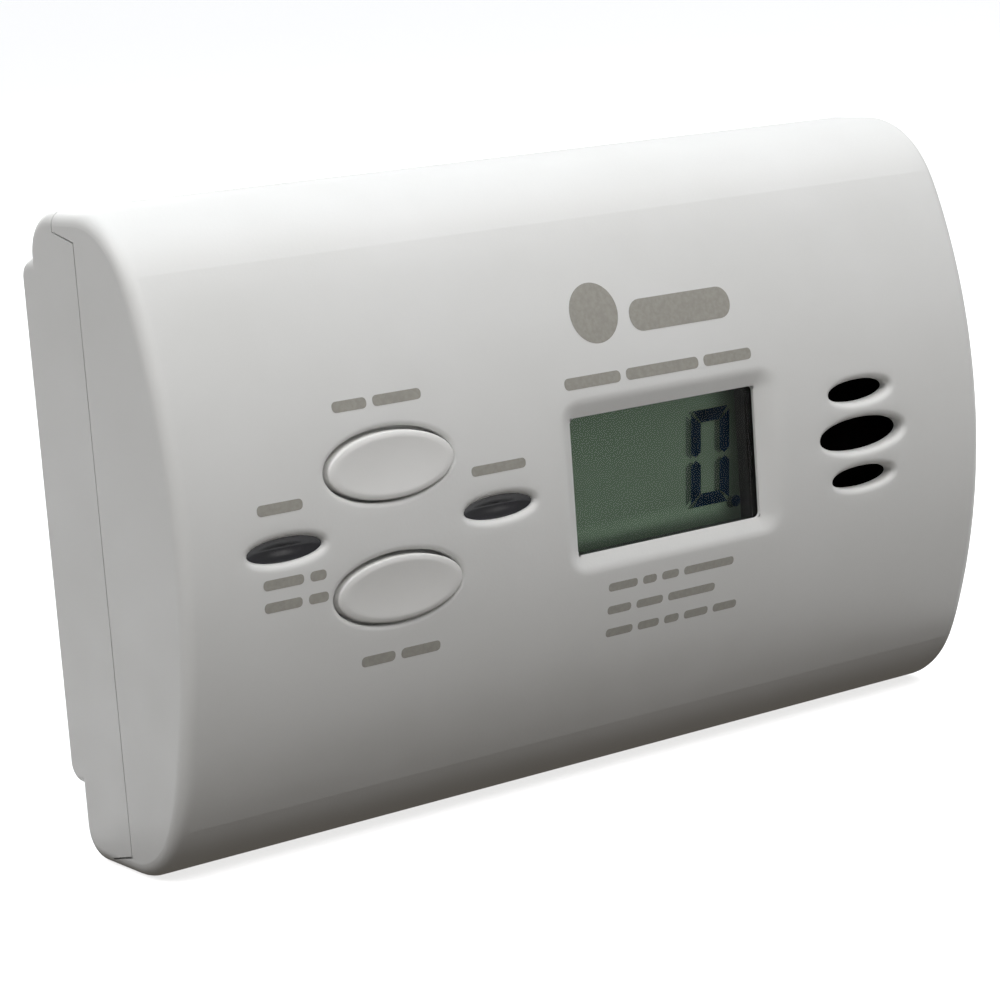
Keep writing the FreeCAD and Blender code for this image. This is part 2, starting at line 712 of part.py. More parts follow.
# ---- board and components --------------------------------------------------------------
def circuit_board():
    board = rounded_block(0, (BOARD_LOW + BOARD_HIGH) / 2, 2 * BOARD_X, BOARD_HIGH - BOARD_LOW,
                          2, BOARD_FRONT, BOARD_BACK)
    holes = [rod(side * BOARD_SCREW_X, z, 1.2, BOARD_FRONT - 1, BOARD_BACK + 1)
             for side in (-1, 1) for z in BOARD_SCREW_Z]
    holes += [rod(x, z, 0.55, BOARD_FRONT - 1, BOARD_BACK + 1) for x, z in battery_pin_places()]
    holes += [rod(x, z, 0.5, BOARD_FRONT - 1, BOARD_BACK + 1) for x, z in sensor_pin_places()]
    return board.cut(holes + lamp_leg_holes())


CHIP_X, CHIP_Z, CHIP_W = -30.0, 46.0, 10.0
CHIP_T = 1.4
LEAD_PITCH = 0.8
LEAD_HALF = 0.16
LEAD_T = 0.25
CAN_R = 3.15
CAN_Z = 20.0
COIL_X, COIL_Z = 50.0, 22.0
SPOOL_R = 4.5
SPOOL_LENGTH = 10.0
SPOOL_CORE_R = 2.2
CHIP_HALF_W, CHIP_HALF_H, CHIP_RISE = 1.6, 0.8, 0.6


def microcontroller():
    return block(CHIP_X - CHIP_W / 2, CHIP_X + CHIP_W / 2, BOARD_BACK + 0.15, BOARD_BACK + CHIP_T,
                 CHIP_Z - CHIP_W / 2, CHIP_Z + CHIP_W / 2)


def microcontroller_leads():
    """Eleven leads a side, each a foot on the board and a step up to the chip."""
    leads = []
    for i in range(-5, 6):
        for side in (-1, 1):
            a0, a1 = i * LEAD_PITCH - LEAD_HALF, i * LEAD_PITCH + LEAD_HALF
            near, far = sorted((side * CHIP_W / 2, side * (CHIP_W / 2 + 1)))
            foot = (BOARD_BACK, BOARD_BACK + LEAD_T)
            leads.append(block(CHIP_X + near, CHIP_X + far, *foot, CHIP_Z + a0, CHIP_Z + a1))
            leads.append(block(CHIP_X + a0, CHIP_X + a1, *foot, CHIP_Z + near, CHIP_Z + far))
    return each(leads)


def crystal():
    can = rounded_block(-16, 34, 4.2, 10.5, 2, BOARD_BACK, BOARD_BACK + 2.4)
    top = [e for e in can.Edges if e.BoundBox.YMin > BOARD_BACK + 2.3 - MID_DEPTH]
    return can.makeFillet(0.4, top)


def capacitors():
    """Two upright cans on the back of the board."""
    cans = []
    for x in (24.0, 34.0):
        can = rod(x, CAN_Z, CAN_R, BOARD_BACK + 0.3, BOARD_BACK + 11.3)
        cans.append(can.makeFillet(0.5, [can.Edges[0]]))
    return each(cans)


def inductor_core():
    """A ferrite spool: two flanges and the core between them."""
    back = BOARD_BACK + SPOOL_LENGTH
    spool = rod(COIL_X, COIL_Z, SPOOL_R, BOARD_BACK, back)
    groove = rod(COIL_X, COIL_Z, SPOOL_R + 0.5, BOARD_BACK + 1.2, back - 1.2)
    return spool.cut(groove.cut(rod(COIL_X, COIL_Z, SPOOL_CORE_R, BOARD_BACK, back)))


def inductor_winding():
    back = BOARD_BACK + SPOOL_LENGTH
    coil = rod(COIL_X, COIL_Z, SPOOL_R - 0.5, BOARD_BACK + 1.25, back - 1.25)
    return coil.cut(rod(COIL_X, COIL_Z, SPOOL_CORE_R + 0.05, BOARD_BACK, back))


def resistors():
    """Chip resistors and capacitors in two rows on the front of the board."""
    chips = []
    for row, z in enumerate((20.0, 72.0)):
        for i in range(9):
            x = -48 + 9.0 * i + 4 * row
            chips.append(block(x - CHIP_HALF_W, x + CHIP_HALF_W, BOARD_FRONT - CHIP_RISE, BOARD_FRONT,
                               z - CHIP_HALF_H, z + CHIP_HALF_H))
    return each(chips)


# ---- carbon monoxide cell ------------------------------------------------------------
PIN_REACH = 5.08
CAP_T = 2.5
INLET_R = 0.8
INLET_REACH = 5.0


def sensor_pin_places():
    return [(SENSOR_X - PIN_REACH, SENSOR_Z), (SENSOR_X, SENSOR_Z + PIN_REACH),
            (SENSOR_X + PIN_REACH, SENSOR_Z)]


def co_sensor_can():
    can = rod(SENSOR_X, SENSOR_Z, SENSOR_R, SENSOR_FRONT, SENSOR_FRONT + SENSOR_LENGTH - CAP_T)
    groove = rod(SENSOR_X, SENSOR_Z, SENSOR_R + 1, SENSOR_FRONT + 7, SENSOR_FRONT + 8)
    return can.cut(groove.cut(rod(SENSOR_X, SENSOR_Z, SENSOR_R - 0.4, 0, DEPTH)))


def co_sensor_cap():
    """The gas inlet cap, with a ring of small holes."""
    back = SENSOR_FRONT + SENSOR_LENGTH
    cap = rod(SENSOR_X, SENSOR_Z, SENSOR_R, back - CAP_T, back)
    cap = cap.makeFillet(0.8, [e for e in cap.Edges if e.BoundBox.YMin > back - 0.1 - MID_DEPTH])
    holes = [rod(SENSOR_X, SENSOR_Z, INLET_R, back - 2, back + 1)]
    for i in range(6):
        turn = math.radians(60 * i)
        x = SENSOR_X + INLET_REACH * math.cos(turn)
        z = SENSOR_Z + INLET_REACH * math.sin(turn)
        holes.append(rod(x, z, INLET_R, back - 2, back + 1))
    return cap.cut(holes)


def co_sensor_pins():
    return each([rod(x, z, 0.4, BOARD_FRONT - 1.2, SENSOR_FRONT) for x, z in sensor_pin_places()])


# ---- batteries and their contacts ------------------------------------------------------
CELL_NAMES = ["battery_top", "battery_middle", "battery_bottom"]
CONTACT_HALF = 5.5


def cell_place(i):
    """Height of cell i, and which way its positive end points."""
    return FACE_Z + (1 - i) * CELL_PITCH, (1 if i % 2 == 0 else -1)


def bay_end(direction, inset):
    """A place near the right or left end of the bay."""
    return BAY_RIGHT - inset if direction > 0 else BAY_LEFT + inset


def cell(i):
    z, way = cell_place(i)
    tip = bay_end(way, PLATE_T)
    shoulder = tip - way * NUB_LENGTH
    end = shoulder - way * CELL_LENGTH
    body = rod_x(CELL_DEPTH, z, CELL_R, min(shoulder, end), max(shoulder, end))
    body = body.makeFillet(0.6, [e for e in body.Edges if e.BoundBox.XLength < 1e-4])
    return body.fuse(rod_x(CELL_DEPTH, z, NUB_R, min(shoulder, tip), max(shoulder, tip)))


def contact(i, positive):
    z, way = cell_place(i)
    side = way if positive else -way
    x0, x1 = sorted((bay_end(side, 0), bay_end(side, PLATE_T)))
    return block(x0, x1, CELL_DEPTH - 5, CELL_DEPTH + 4.5, z - CONTACT_HALF, z + CONTACT_HALF)


def battery_springs():
    """A conical spring at each cell's negative end, its turns as rings joined by short links."""
    springs = []
    for i in range(3):
        z, way = cell_place(i)
        start = bay_end(-way, PLATE_T + SPRING_WIRE_R)
        gap = (BAY_RIGHT - BAY_LEFT) - 2 * PLATE_T - NUB_LENGTH - CELL_LENGTH
        rise = way * (gap - 2 * SPRING_WIRE_R - 0.05) / (SPRING_TURNS - 1)
        turns = []
        for k in range(SPRING_TURNS):
            centre = at(start + k * rise, CELL_DEPTH, z)
            radius = SPRING_R - k * SPRING_TAPER
            turns.append(Part.makeTorus(radius, SPRING_WIRE_R, centre, V(1, 0, 0)))
            if k < SPRING_TURNS - 1:
                side = 1 if k % 2 == 0 else -1
                foot = centre + V(0, 0, side * radius)
                link = V(rise, 0, -side * SPRING_TAPER)
                turns.append(Part.makeCylinder(SPRING_WIRE_R * 0.9, link.Length, foot, link))
        springs.append(join(turns))
    return each(springs)


def battery_pin_places():
    return [(BAY_LEFT + 2.0, BAY_HIGH - 2.2), (BAY_RIGHT - 2.0, BAY_LOW + 2.2)]


def battery_pins():
    """Sprung pins that carry the battery voltage from the bay to the board."""
    pins = []
    for x, z in battery_pin_places():
        pins.append(rod(x, z, 0.5, BOARD_FRONT - 0.8, BAY_FLOOR + 1.2))
    return each(pins)


# ---- fasteners: shank radius, length, head radius, head height -------------------------
HOUSING_SCREW = (1.3, 16.0, 2.7, 1.9)
BOARD_SCREW = (1.0, 8.0, 1.9, 1.4)


def pan_screw(x, z, seat, shank_r, length, head_r, head_h):
    """A pan-head screw driven forwards, with a cross recess."""
    head = rod(x, z, head_r, seat, seat + head_h)
    head = head.makeFillet(head_h * 0.4, [e for e in head.Edges
                                          if e.BoundBox.YMin > seat + head_h - 0.05 - MID_DEPTH])
    shank = rod(x, z, shank_r, seat - length, seat + 0.1)
    shank = shank.makeChamfer(shank_r * 0.5, [e for e in shank.Edges
                                              if e.BoundBox.YMax < seat - length + 0.05 - MID_DEPTH])
    arm, half = head_r * 0.6, head_r * 0.12
    cross = [
        block(x - arm, x + arm, seat + head_h * 0.45, seat + head_h + 1, z - half, z + half),
        block(x - half, x + half, seat + head_h * 0.45, seat + head_h + 1, z - arm, z + arm),
    ]
    return head.fuse(shank).cut(cross)


def housing_screws():
    return each([pan_screw(side * POST_X, z, SCREW_SEAT, *HOUSING_SCREW)
                 for side in (-1, 1) for z in POST_Z])


def board_screws():
    return each([pan_screw(side * BOARD_SCREW_X, z, BOARD_BACK, *BOARD_SCREW)
                 for side in (-1, 1) for z in BOARD_SCREW_Z])


# ---- write every node ------------------------------------------------------------------
NODES = {
    "front_cover": front_cover,
    "back_cover": back_cover,
    "battery_door": battery_door,
    "test_button": lambda: button(1),
    "peak_button": lambda: button(-1),
    "test_switch": lambda: switch_body(1),
    "peak_switch": lambda: switch_body(-1),
    "test_plunger": lambda: plunger(1),
    "peak_plunger": lambda: plunger(-1),
    "alarm_lens": lambda: lamp_lens(-1),
    "operate_lens": lambda: lamp_lens(1),
    "alarm_led": lambda: lamp_led(-1),
    "operate_led": lambda: lamp_led(1),
    "display_window": display_window,
    "display_gasket": display_gasket,
    "display_holder": display_holder,
    "display_front_glass": lambda: glass(0),
    "display_rear_glass": lambda: glass(1),
    "display_reflector": display_reflector,
    "display_connectors": display_connectors,
    "horn_housing": horn_housing,
    "horn_gasket": horn_gasket,
    "piezo_disc": piezo_disc,
    "piezo_ceramic": piezo_ceramic,
    "horn_contacts": horn_contacts,
    "dust_screen": dust_screen,
    "circuit_board": circuit_board,
    "microcontroller": microcontroller,
    "microcontroller_leads": microcontroller_leads,
    "crystal": crystal,
    "capacitors": capacitors,
    "inductor_core": inductor_core,
    "inductor_winding": inductor_winding,
    "resistors": resistors,
    "co_sensor_can": co_sensor_can,
    "co_sensor_cap": co_sensor_cap,
    "co_sensor_pins": co_sensor_pins,
    "battery_springs": battery_springs,
    "positive_contacts": lambda: each([contact(i, True) for i in range(3)]),
    "negative_contacts": lambda: each([contact(i, False) for i in range(3)]),
    "battery_pins": battery_pins,
    "rear_label": rear_label,
    "housing_screws": housing_screws,
    "board_screws": board_screws,
}
for number, name in enumerate(CELL_NAMES):
    NODES[name] = lambda number=number: cell(number)

os.makedirs("parts", exist_ok=True)
for name, make in NODES.items():
    shape = make()
    shape.exportStep(os.path.join("parts", name + ".step"))
    print(name, "solids", len(shape.Solids), "valid", shape.isValid(), "volume", round(shape.Volume, 1))
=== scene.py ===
import json
import math

import bmesh
import bpy
from mathutils import Matrix, Vector
from mathutils.geometry import delaunay_2d_cdt


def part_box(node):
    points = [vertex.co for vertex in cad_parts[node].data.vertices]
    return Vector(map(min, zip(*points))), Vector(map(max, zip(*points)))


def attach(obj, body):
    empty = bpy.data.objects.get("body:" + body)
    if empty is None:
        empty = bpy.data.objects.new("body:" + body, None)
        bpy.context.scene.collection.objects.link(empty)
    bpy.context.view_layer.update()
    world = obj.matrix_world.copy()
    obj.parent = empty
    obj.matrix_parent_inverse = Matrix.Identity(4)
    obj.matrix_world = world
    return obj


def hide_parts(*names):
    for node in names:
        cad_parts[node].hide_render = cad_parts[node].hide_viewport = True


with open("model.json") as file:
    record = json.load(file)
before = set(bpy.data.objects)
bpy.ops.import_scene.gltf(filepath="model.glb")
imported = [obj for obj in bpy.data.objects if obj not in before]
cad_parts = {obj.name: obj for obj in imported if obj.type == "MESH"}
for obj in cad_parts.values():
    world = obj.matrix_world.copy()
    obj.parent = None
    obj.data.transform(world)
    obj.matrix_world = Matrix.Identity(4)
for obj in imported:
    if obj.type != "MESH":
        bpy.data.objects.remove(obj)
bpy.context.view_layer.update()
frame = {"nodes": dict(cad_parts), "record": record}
NODES = frame["nodes"]

# Millimetres below: x across, depth back from the foremost line of the front cover, z up.
MM = 0.001
FRONT_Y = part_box("front_cover")[0].y
WIDTH, HEIGHT = 146.0, 92.0
HALF = WIDTH / 2
MID_Z = HEIGHT / 2
FRONT_R = 93.6
CORNER_R = 14.0
EDGE_R = 2.0
WALL = 2.2
REAR = 27.0                   # where the front cover ends, at the seam
SIDE_REAR = 21.29             # the same on the end faces
SIDE_LOW, SIDE_HIGH = 2.52, 87.98
SLANT = 1.6 / 6.85            # rise of the side seam's slanted ends

FACE_Z = 46.0
BUTTON_X, BUTTON_RISE = -39.1, 8.6
BUTTON_A, BUTTON_B, BUTTON_GAP = 10.2, 4.6, 0.5
LAMP_Z = FACE_Z - 0.25
LAMP_REACH, LAMP_A, LAMP_B = 17.7, 5.95, 1.65
VENT_X, VENT_Z, VENT_PITCH = 47.7, FACE_Z - 0.28, 6.68
VENT_SIZES = [(6.1, 1.7), (8.4, 2.55), (6.1, 1.65)]
WINDOW_X, WINDOW_W, WINDOW_H, WINDOW_R = 10.05, 34.6, 20.0, 0.9
WINDOW_LOW, WINDOW_HIGH = FACE_Z - WINDOW_H / 2, FACE_Z + WINDOW_H / 2
RECESS_X, RECESS_W, RECESS_H, RECESS_R = 10.8, 40.8, 24.7, 3.6
RECESS_FLOOR = 1.6
# How wide and how deep the rim of each kind of opening rolls inwards.
VENT_ROLL, LAMP_ROLL, BUTTON_ROLL = (1.1, 1.15), (1.2, 1.0), (0.85, 0.5)

# The bow passes softly into its corners over twice EASE of its length.
CORNER_DEPTH = FRONT_R - math.sqrt((FRONT_R - CORNER_R) ** 2 - (MID_Z - CORNER_R) ** 2)
LEAN = math.atan2(MID_Z - CORNER_R, FRONT_R - CORNER_DEPTH)
EASE = 5.0
BEND = 1 / CORNER_R - 1 / FRONT_R


def at(x, depth, z):
    return Vector((x * MM, FRONT_Y + depth * MM, z * MM))


def eased(turn):
    """How far inwards the outline is drawn where its normal has turned this far from the front."""
    way = (turn - LEAN) * (CORNER_R if turn > LEAN else FRONT_R)
    if way < -EASE:
        return 0.0
    if way < EASE:
        return BEND * ((way + EASE) ** 3 / (12 * EASE) - max(0.0, way) ** 2 / 2)
    rest = min(1.0, (way - EASE) / (CORNER_R * (math.pi / 2 - LEAN) - EASE))
    return BEND * EASE ** 2 / 6 * (1 - rest * rest * (3 - 2 * rest))


def front_depth(z, inset=0.0):
    """Depth of the bowed front at height z, or of the face lying inset behind it."""
    turn = math.asin(min(1.0, abs(z - MID_Z) / (FRONT_R - inset)))
    bow = FRONT_R - math.sqrt((FRONT_R - inset) ** 2 - (z - MID_Z) ** 2)
    return bow + eased(min(turn, LEAN)) / math.cos(turn)


# ---- camera ----------------------------------------------------------------------------
VIEW_TURNS = (-35.53, 10.224, -4.135)             # azimuth, elevation and roll, in degrees
VIEW_TARGET, VIEW_AWAY, LENS_MM = (-7.933, 19.0, 42.576), 439.756, 107.075


def make_camera():
    az, el, roll = (math.radians(a) for a in VIEW_TURNS)
    back = Vector((math.sin(az) * math.cos(el), -math.cos(az) * math.cos(el), math.sin(el)))
    right = (-back).cross(Vector((0, 0, 1))).normalized()
    up = right.cross(-back)
    across = math.cos(roll) * right + math.sin(roll) * up
    upward = -math.sin(roll) * right + math.cos(roll) * up
    data = bpy.data.cameras.new("camera")
    data.sensor_width = 36.0
    data.lens = LENS_MM
    camera = bpy.data.objects.new("camera", data)
    bpy.context.scene.collection.objects.link(camera)
    camera.matrix_world = Matrix((
        (across.x, upward.x, back.x, 0),
        (across.y, upward.y, back.y, 0),
        (across.z, upward.z, back.z, 0),
        (0, 0, 0, 1),
    ))
    camera.location = at(*VIEW_TARGET) + back * VIEW_AWAY * MM
    data.clip_start, data.clip_end = 0.01, 20.0
    bpy.context.scene.camera = camera


# ---- materials -------------------------------------------------------------------------
class Paint:
    """A procedural material, with the object's own coordinates in millimetres."""

    def __init__(self, name, color, roughness, **sockets):
        self.material = bpy.data.materials.new(name)
        self.material.use_nodes = True
        self.tree = self.material.node_tree
        self.bsdf = self.tree.nodes["Principled BSDF"]
        self.bsdf.inputs["Base Color"].default_value = (*color, 1)
        self.bsdf.inputs["Roughness"].default_value = roughness
        for socket, value in sockets.items():
            self.bsdf.inputs[socket.replace("_", " ")].default_value = value
        place = self.tree.nodes.new("ShaderNodeTexCoord")
        scale = self.tree.nodes.new("ShaderNodeMapping")
        scale.inputs["Scale"].default_value = (1000, 1000, 1000)
        self.link(place.outputs["Object"], scale.inputs["Vector"])
        self.place = scale.outputs["Vector"]

    def link(self, start, end):
        self.tree.links.new(start, end)

    def noise(self, scale, detail=2.0, stretch=None):
        node = self.tree.nodes.new("ShaderNodeTexNoise")
        node.inputs["Scale"].default_value = scale
        node.inputs["Detail"].default_value = detail
        place = self.place
        if stretch:
            shape = self.tree.nodes.new("ShaderNodeMapping")
            shape.inputs["Scale"].default_value = stretch
            self.link(place, shape.inputs["Vector"])
            place = shape.outputs["Vector"]
        self.link(place, node.inputs["Vector"])
        return node.outputs["Fac"]

    def span(self, source, low, high, start=0.0, end=1.0):
        """source from start to end becomes low to high."""
        node = self.tree.nodes.new("ShaderNodeMapRange")
        for socket, value in zip(("From Min", "From Max", "To Min", "To Max"), (start, end, low, high)):
            node.inputs[socket].default_value = value
        self.link(source, node.inputs["Value"])
        return node.outputs["Result"]

    def blend(self, factor, first, second):
        """Two colours mixed by factor; each is a colour or another node's output."""
        node = self.tree.nodes.new("ShaderNodeMix")
        node.data_type = "RGBA"
        self.link(factor, node.inputs["Factor"])
        for socket, value in zip(node.inputs[6:8], (first, second)):      # the colour A and B
            if isinstance(value, tuple):
                socket.default_value = (*value, 1)
            else:
                self.link(value, socket)
        return node.outputs[2]

    def color(self, source):
        self.link(source, self.bsdf.inputs["Base Color"])

    def roughness(self, source):
        self.link(source, self.bsdf.inputs["Roughness"])

    def bump(self, source, height):
        """height is in millimetres."""
        node = self.tree.nodes.new("ShaderNodeBump")
        node.inputs["Strength"].default_value = 1.0
        node.inputs["Distance"].default_value = height * MM
        self.link(source, node.inputs["Height"])
        self.link(node.outputs["Normal"], self.bsdf.inputs["Normal"])

    def axis(self, name):
        node = self.tree.nodes.new("ShaderNodeSeparateXYZ")
        self.link(self.place, node.inputs["Vector"])
        return node.outputs[name]

    def step(self, name, where, soft, falls=False):
        """0 before a place along an axis and 1 behind it, or the other way round."""
        low, high = (1, 0) if falls else (0, 1)
        return self.span(self.axis(name), low, high, where - soft, where + soft)


def speckled(name, low, high, scale, roughness, bump_scale, bump_height, spread=0.06, **sockets):
    """A colour that drifts between two shades, with a fine bump and uneven gloss."""
    paint = Paint(name, high, roughness, **sockets)
    paint.color(paint.blend(paint.span(paint.noise(scale, 3.0), 0, 1, 0.35, 0.65), low, high))
    paint.roughness(paint.span(paint.noise(scale * 4, 3.0), roughness - spread, roughness + spread, 0.3, 0.7))
    paint.bump(paint.noise(bump_scale, 2.0), bump_height)
    return paint.material


def shell_plastic():
    return speckled("cover_plastic", (0.775, 0.775, 0.760), (0.800, 0.800, 0.788), 0.05,
                    0.43, 2.6, 0.010, Specular_IOR_Level=0.45)


def button_plastic():
    return speckled("button_plastic", (0.785, 0.780, 0.762), (0.810, 0.806, 0.790), 0.08,
                    0.36, 3.2, 0.004, Specular_IOR_Level=0.5)


def clear_sheet(name, tint, roughness, gloss):
    """A clear thin sheet: it lets light straight through and adds its own gloss."""
    paint = Paint(name, tint, roughness)
    tree = paint.tree
    through = tree.nodes.new("ShaderNodeBsdfTransparent")
    through.inputs["Color"].default_value = (*tint, 1)
    shine = tree.nodes.new("ShaderNodeBsdfGlossy")
    smear = paint.span(paint.noise(0.12, 3.0), roughness, roughness + 0.05, 0.35, 0.65)
    paint.link(smear, shine.inputs["Roughness"])
    fresnel = tree.nodes.new("ShaderNodeFresnel")
    fresnel.inputs["IOR"].default_value = gloss
    side = tree.nodes.new("ShaderNodeNewGeometry")
    outer = tree.nodes.new("ShaderNodeMath")
    outer.operation = "MULTIPLY"
    paint.link(fresnel.outputs["Fac"], outer.inputs[0])
    paint.link(paint.span(side.outputs["Backfacing"], 1, 0), outer.inputs[1])
    mix = tree.nodes.new("ShaderNodeMixShader")
    paint.link(outer.outputs["Value"], mix.inputs["Fac"])
    paint.link(through.outputs["BSDF"], mix.inputs[1])
    paint.link(shine.outputs["BSDF"], mix.inputs[2])
    output = tree.nodes["Material Output"]
    paint.link(mix.outputs["Shader"], output.inputs["Surface"])
    tree.nodes.remove(paint.bsdf)
    return paint.material


def display_film(name):
    """The grey-green polarising film of the display, with painted light: a little brighter towards the bottom,
    and a brighter painted band along its foot, where the recess's lower wall darkens it.
    """
    paint = Paint(name, (0.052, 0.072, 0.05), 0.4, Metallic=0.85, Specular_IOR_Level=0.1)
    # painted light: the film's colour grows a little brighter towards the bottom of the window
    painted_light_ramp = paint.span(paint.axis("Z"), 0, 1, WINDOW_LOW, WINDOW_HIGH)
    tone = paint.blend(painted_light_ramp, (0.057, 0.080, 0.056), (0.049, 0.069, 0.048))
    # painted light: a brighter band along the bottom edge lifts the dark there from the recess's lower wall
    painted_light_foot = paint.span(paint.axis("Z"), 1, 0, WINDOW_LOW - 1.1, WINDOW_LOW + 3.5)
    tone = paint.blend(painted_light_foot, tone, (0.13, 0.185, 0.128))
    paint.color(paint.blend(paint.span(paint.noise(1.6, 2.0), 0, 0.2), tone, (0.04, 0.058, 0.04)))
    paint.roughness(paint.span(paint.noise(0.8, 2.0), 0.36, 0.44, 0.3, 0.7))
    return paint.material


def board_lacquer():
    """Green lacquer over faint copper tracks."""
    paint = Paint("board", (0.02, 0.16, 0.06), 0.32, Coat_Weight=0.4)
    brick = paint.tree.nodes.new("ShaderNodeTexBrick")
    brick.inputs["Scale"].default_value = 0.35
    brick.inputs["Mortar Size"].default_value = 0.12
    turn = paint.tree.nodes.new("ShaderNodeMapping")
    turn.inputs["Rotation"].default_value = (math.pi / 2, 0, 0)
    paint.link(paint.place, turn.inputs["Vector"])
    paint.link(turn.outputs["Vector"], brick.inputs["Vector"])
    track = brick.outputs["Fac"]
    paint.color(paint.blend(track, (0.018, 0.13, 0.05), (0.05, 0.24, 0.09)))
    paint.bump(track, 0.03)
    return paint.material


def striped(name, low, high, axis, pitch, roughness, **sockets):
    """Fine stripes across one axis, such as a wound coil or a layered strip."""
    paint = Paint(name, high, roughness, **sockets)
    wave = paint.tree.nodes.new("ShaderNodeMath")
    wave.operation = "PINGPONG"
    wave.inputs[1].default_value = pitch / 2
    paint.link(paint.axis(axis), wave.inputs[0])
    band = paint.span(wave.outputs["Value"], 0, 1, 0, pitch / 2)
    paint.color(paint.blend(band, low, high))
    paint.bump(band, pitch * 0.25)
    return paint.material


def metal(name, low, high, roughness, grain=(0.15, 3, 3)):
    paint = Paint(name, high, roughness, Metallic=1.0)
    brushed = paint.noise(1.2, 3.0, stretch=grain)
    paint.color(paint.blend(brushed, low, high))
    paint.roughness(paint.span(brushed, roughness - 0.08, roughness + 0.1))
    paint.bump(brushed, 0.006)
    return paint.material


MIDDLE_BAND, OUTER_BAND = -45.0, -19.0             # where the coloured bands end, across
CELL_EDGE = 7.6                                    # halfway between the middle cell and the next


def cell_sleeve():
    """A plain two-colour sleeve: dark, with a copper-coloured band at the positive end.

    The middle cell's positive end is on the left, the outer cells' on the right.
    """
    paint = Paint("battery_case", (0.05, 0.05, 0.055), 0.3, Metallic=0.6, Coat_Weight=0.5)
    dark, copper = (0.045, 0.045, 0.05), (0.62, 0.27, 0.10)
    left = paint.blend(paint.step("X", MIDDLE_BAND, 0.2, falls=True), dark, copper)
    right = paint.blend(paint.step("X", OUTER_BAND, 0.2), dark, copper)
    upper = paint.step("Z", FACE_Z + CELL_EDGE, 0.1)
    lower = paint.step("Z", FACE_Z - CELL_EDGE, 0.1, falls=True)
    tone = paint.blend(upper, paint.blend(lower, left, right), right)
    paint.color(paint.blend(paint.span(paint.noise(0.5), 0, 0.2), tone, (0.2, 0.2, 0.2)))
    paint.bump(paint.noise(1.5), 0.01)
    return paint.material


def make_materials():
    dark = (0.005, 0.005, 0.005)
    return {
        "cover_plastic": shell_plastic(),
        "button_plastic": button_plastic(),
        "black_plastic": speckled("black_plastic", dark, (0.009, 0.008, 0.008), 0.3, 0.5, 2.5, 0.01,
                                  Specular_IOR_Level=0.25),
        "plunger_plastic": speckled("plunger_plastic", (0.66, 0.62, 0.5), (0.72, 0.69, 0.58),
                                    0.4, 0.4, 3, 0.006),
        "smoked_plastic": speckled("smoked_plastic", (0.004, 0.004, 0.006), (0.009, 0.008, 0.012), 0.4,
                                   0.2, 1.2, 0.004, 0.05, Specular_IOR_Level=0.3),
        "red_lamp": speckled("red_lamp", (0.35, 0.01, 0.01), (0.5, 0.02, 0.015), 0.5, 0.15, 1.5, 0.004, 0.04),
        "green_lamp": speckled("green_lamp", (0.02, 0.25, 0.03), (0.04, 0.36, 0.05),
                               0.5, 0.15, 1.5, 0.004, 0.04),
        "clear_plastic": clear_sheet("clear_plastic", (0.985, 0.99, 0.985), 0.04, 1.16),
        "display_glass": display_film("display_glass"),
        "foam": speckled("foam", (0.004, 0.003, 0.003), (0.009, 0.008, 0.007), 1.5, 0.9, 3.5, 0.08,
                         Specular_IOR_Level=0.1),
        "reflector": display_film("reflector"),
        "elastomer": striped("elastomer", (0.03, 0.03, 0.03), (0.3, 0.3, 0.29), "X", 0.4, 0.6),
        "brass_disc": metal("brass_disc", (0.55, 0.38, 0.14), (0.72, 0.52, 0.22), 0.3),
        "piezo_ceramic": speckled("piezo_ceramic", (0.6, 0.58, 0.53), (0.7, 0.68, 0.63), 0.5, 0.45, 2, 0.01),
        "plated_steel": metal("plated_steel", (0.62, 0.61, 0.57), (0.75, 0.74, 0.7), 0.25),
        "screen_mesh": speckled("screen_mesh", (0.001, 0.001, 0.001), (0.003, 0.002, 0.002), 0.8, 0.85, 3, 0.02,
                                Specular_IOR_Level=0.0),
        "board": board_lacquer(),
        "capacitor_sleeve": striped("capacitor_sleeve", (0.015, 0.015, 0.04), (0.03, 0.03, 0.07),
                                    "Z", 3, 0.3),
        "ferrite": speckled("ferrite", (0.04, 0.04, 0.045), (0.08, 0.08, 0.085), 1.5, 0.6, 4, 0.02),
        "copper_wire": striped("copper_wire", (0.3, 0.1, 0.03), (0.7, 0.28, 0.1),
                               "Y", 0.5, 0.3, Metallic=0.9),
        "chip_ceramic": speckled("chip_ceramic", (0.02, 0.018, 0.018), (0.05, 0.045, 0.04), 2, 0.5, 4, 0.01),
        "sensor_can": metal("sensor_can", (0.45, 0.46, 0.47), (0.62, 0.63, 0.64), 0.35, (3, 0.15, 3)),
        "sensor_cap": metal("sensor_cap", (0.4, 0.4, 0.4), (0.56, 0.56, 0.56), 0.3, (3, 0.3, 3)),
        "label_paper": speckled("label_paper", (0.84, 0.84, 0.825), (0.87, 0.87, 0.855), 0.09, 0.6, 3, 0.012),
        "screw_steel": metal("screw_steel", (0.35, 0.35, 0.37), (0.5, 0.5, 0.52), 0.35, (3, 0.3, 3)),
        "battery_case": cell_sleeve(),
    }


def dress_cad_nodes(paints):
    """Every CAD node gets its slot's finished material and smooth shading."""
    for part in frame["record"]["subparts"]:
        node = NODES[part["node"]]
        node.data.materials.clear()
        node.data.materials.append(paints[part["material_slot"]])
        smooth(node)


# ---- mesh helpers ----------------------------------------------------------------------
WELD = 2e-6                   # metres


def smooth(obj, degrees=35):
    """Smooth shading, with edges sharper than the angle left crisp."""
    mesh = obj.data
    work = bmesh.new()
    work.from_mesh(mesh)
    for face in work.faces:
        face.smooth = True
    limit = math.radians(degrees)
    for edge in work.edges:
        if len(edge.link_faces) == 2:
            edge.smooth = edge.calc_face_angle(0) < limit
    work.to_mesh(mesh)
    work.free()


